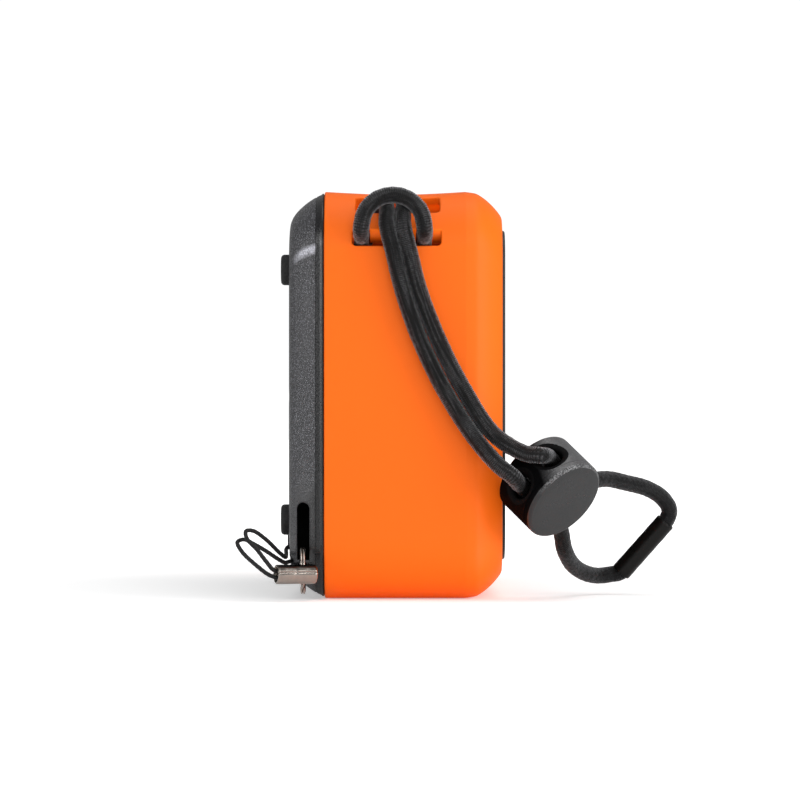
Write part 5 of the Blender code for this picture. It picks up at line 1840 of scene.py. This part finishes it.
def studio_floor():
    """White floor with a glow that only the camera sees, stronger further out."""
    graph = new_material("studio_floor")
    at = graph.coords()
    x, y, _ = graph.split(at)
    reach = (y * y + x * x).math("SQRT")
    seen = graph.add("ShaderNodeLightPath", out="Is Camera Ray")
    near_glow, far_glow = 0.35, 1.0
    tone = graph.noise(at, scale=3.0)
    graph.shade(
        Base_Color=tone.mix((0.93, 0.93, 0.93), (0.95, 0.95, 0.95)),
        Roughness=0.8,
        Specular_IOR_Level=0.1,
        Emission_Color=(1.0, 1.0, 1.0),
        Emission_Strength=seen * reach.ramp(over=(0.09, 0.42), to=(near_glow, far_glow)),
    )


studio_floor()
floor_mesh.materials.append(M["studio_floor"])
floor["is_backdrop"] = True

# ---------------------------------------------------------------- world
world = bpy.data.worlds.new("studio")
scene.world = world
world.use_nodes = True


def studio_world():
    """Plain white to the camera; as a light, brighter towards +X and overhead."""
    graph = Graph(world.node_tree)
    x, _, z = graph.split(graph.add("ShaderNodeTexCoord", out="Generated"))
    ambient = x.ramp(over=(-0.4, 0.8), to=(0.06, 0.3)) + z.ramp(over=(0.1, 0.9), to=(0.0, 0.15))
    seen = graph.add("ShaderNodeLightPath", out="Is Camera Ray")
    background = world.node_tree.nodes["Background"]
    graph.put(background.inputs["Strength"], seen.pick(zero=ambient, one=1.05))
    graph.put(background.inputs["Color"], (1.0, 1.0, 1.0))


studio_world()


# ---------------------------------------------------------------- lights
def softbox(name, at, size, power, size_y=None, only=None):
    """An area light aimed at the middle of the housing. only limits what it lights."""
    light = bpy.data.lights.new(name, "AREA")
    light.shape = "RECTANGLE"
    light.size = size
    light.size_y = size_y or size
    light.energy = power
    obj = bpy.data.objects.new(name, light)
    obj.location = at
    direction = Vector((0.0, 0.0, HEIGHT * MM / 2)) - Vector(at)
    obj.rotation_mode = "QUATERNION"
    obj.rotation_quaternion = direction.to_track_quat("-Z", "Y")
    scene.collection.objects.link(obj)
    if only:
        obj.light_linking.receiver_collection = only
    return obj


def group(name, obj):
    """A collection of one object, for light linking."""
    collection = bpy.data.collections.new(name)
    collection.objects.link(obj)
    return collection


softbox("key_top", at=(-0.15, -0.2, 0.85), size=0.9, power=4.3)
softbox("fill_front", at=(-1.25, -0.3, 0.62), size=0.9, size_y=0.4, power=3.9)
softbox("strip_front", at=(-1.5, 0.0, 0.37), size=1.0, size_y=0.1, power=1.9)
softbox("side_right", at=(-0.5, -0.85, 0.26), size=0.5, power=4.2)
softbox("side_left", at=(-0.35, 0.85, 0.25), size=0.45, size_y=0.3, power=2.0)

# narrow lights kept to the dark shell and to the lock draw highlights along their edges
dark_pieces = group("dark_pieces", rear)
lock_only = group("lock_only", barrel)
softbox("rim_lock", at=(-1.2, 0.1, 0.3), size=0.3, size_y=0.1, power=1.6, only=lock_only)
softbox("kick_left", at=(-0.3, 0.85, 0.185), size=0.6, size_y=0.1, power=0.3, only=dark_pieces)
# this one shines from below the floor, so only the front housing may block it
front_only = group("front_only", front)
low_right = softbox(
    "low_right", at=(-0.4, -0.6, -0.35), size=0.4, size_y=0.3, power=2.2, only=front_only
)
low_right.light_linking.blocker_collection = front_only

# ---------------------------------------------------------------- camera
CAMERA_DISTANCE = 1.0  # metres from the -X end
CAMERA_Y, CAMERA_Z = -1.06, 47.1
cam_data = bpy.data.cameras.new("camera")
cam_data.sensor_width = 36.0
cam_data.lens = 191.8
cam_data.clip_start = 0.01
cam_data.clip_end = 20.0
cam = bpy.data.objects.new("camera", cam_data)
cam.location = (SHELL_LOW.x * MM - CAMERA_DISTANCE, CAMERA_Y * MM, CAMERA_Z * MM)
cam.rotation_mode = "QUATERNION"
cam.rotation_quaternion = Vector((1, 0, 0)).to_track_quat("-Z", "Y")
scene.collection.objects.link(cam)
scene.camera = cam
scene.view_settings.view_transform = "Standard"
scene.view_settings.look = "None"

low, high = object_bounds()
{"cad": [list(CAD_LOW), list(CAD_HIGH)], "visual": [list(low), list(high)]}
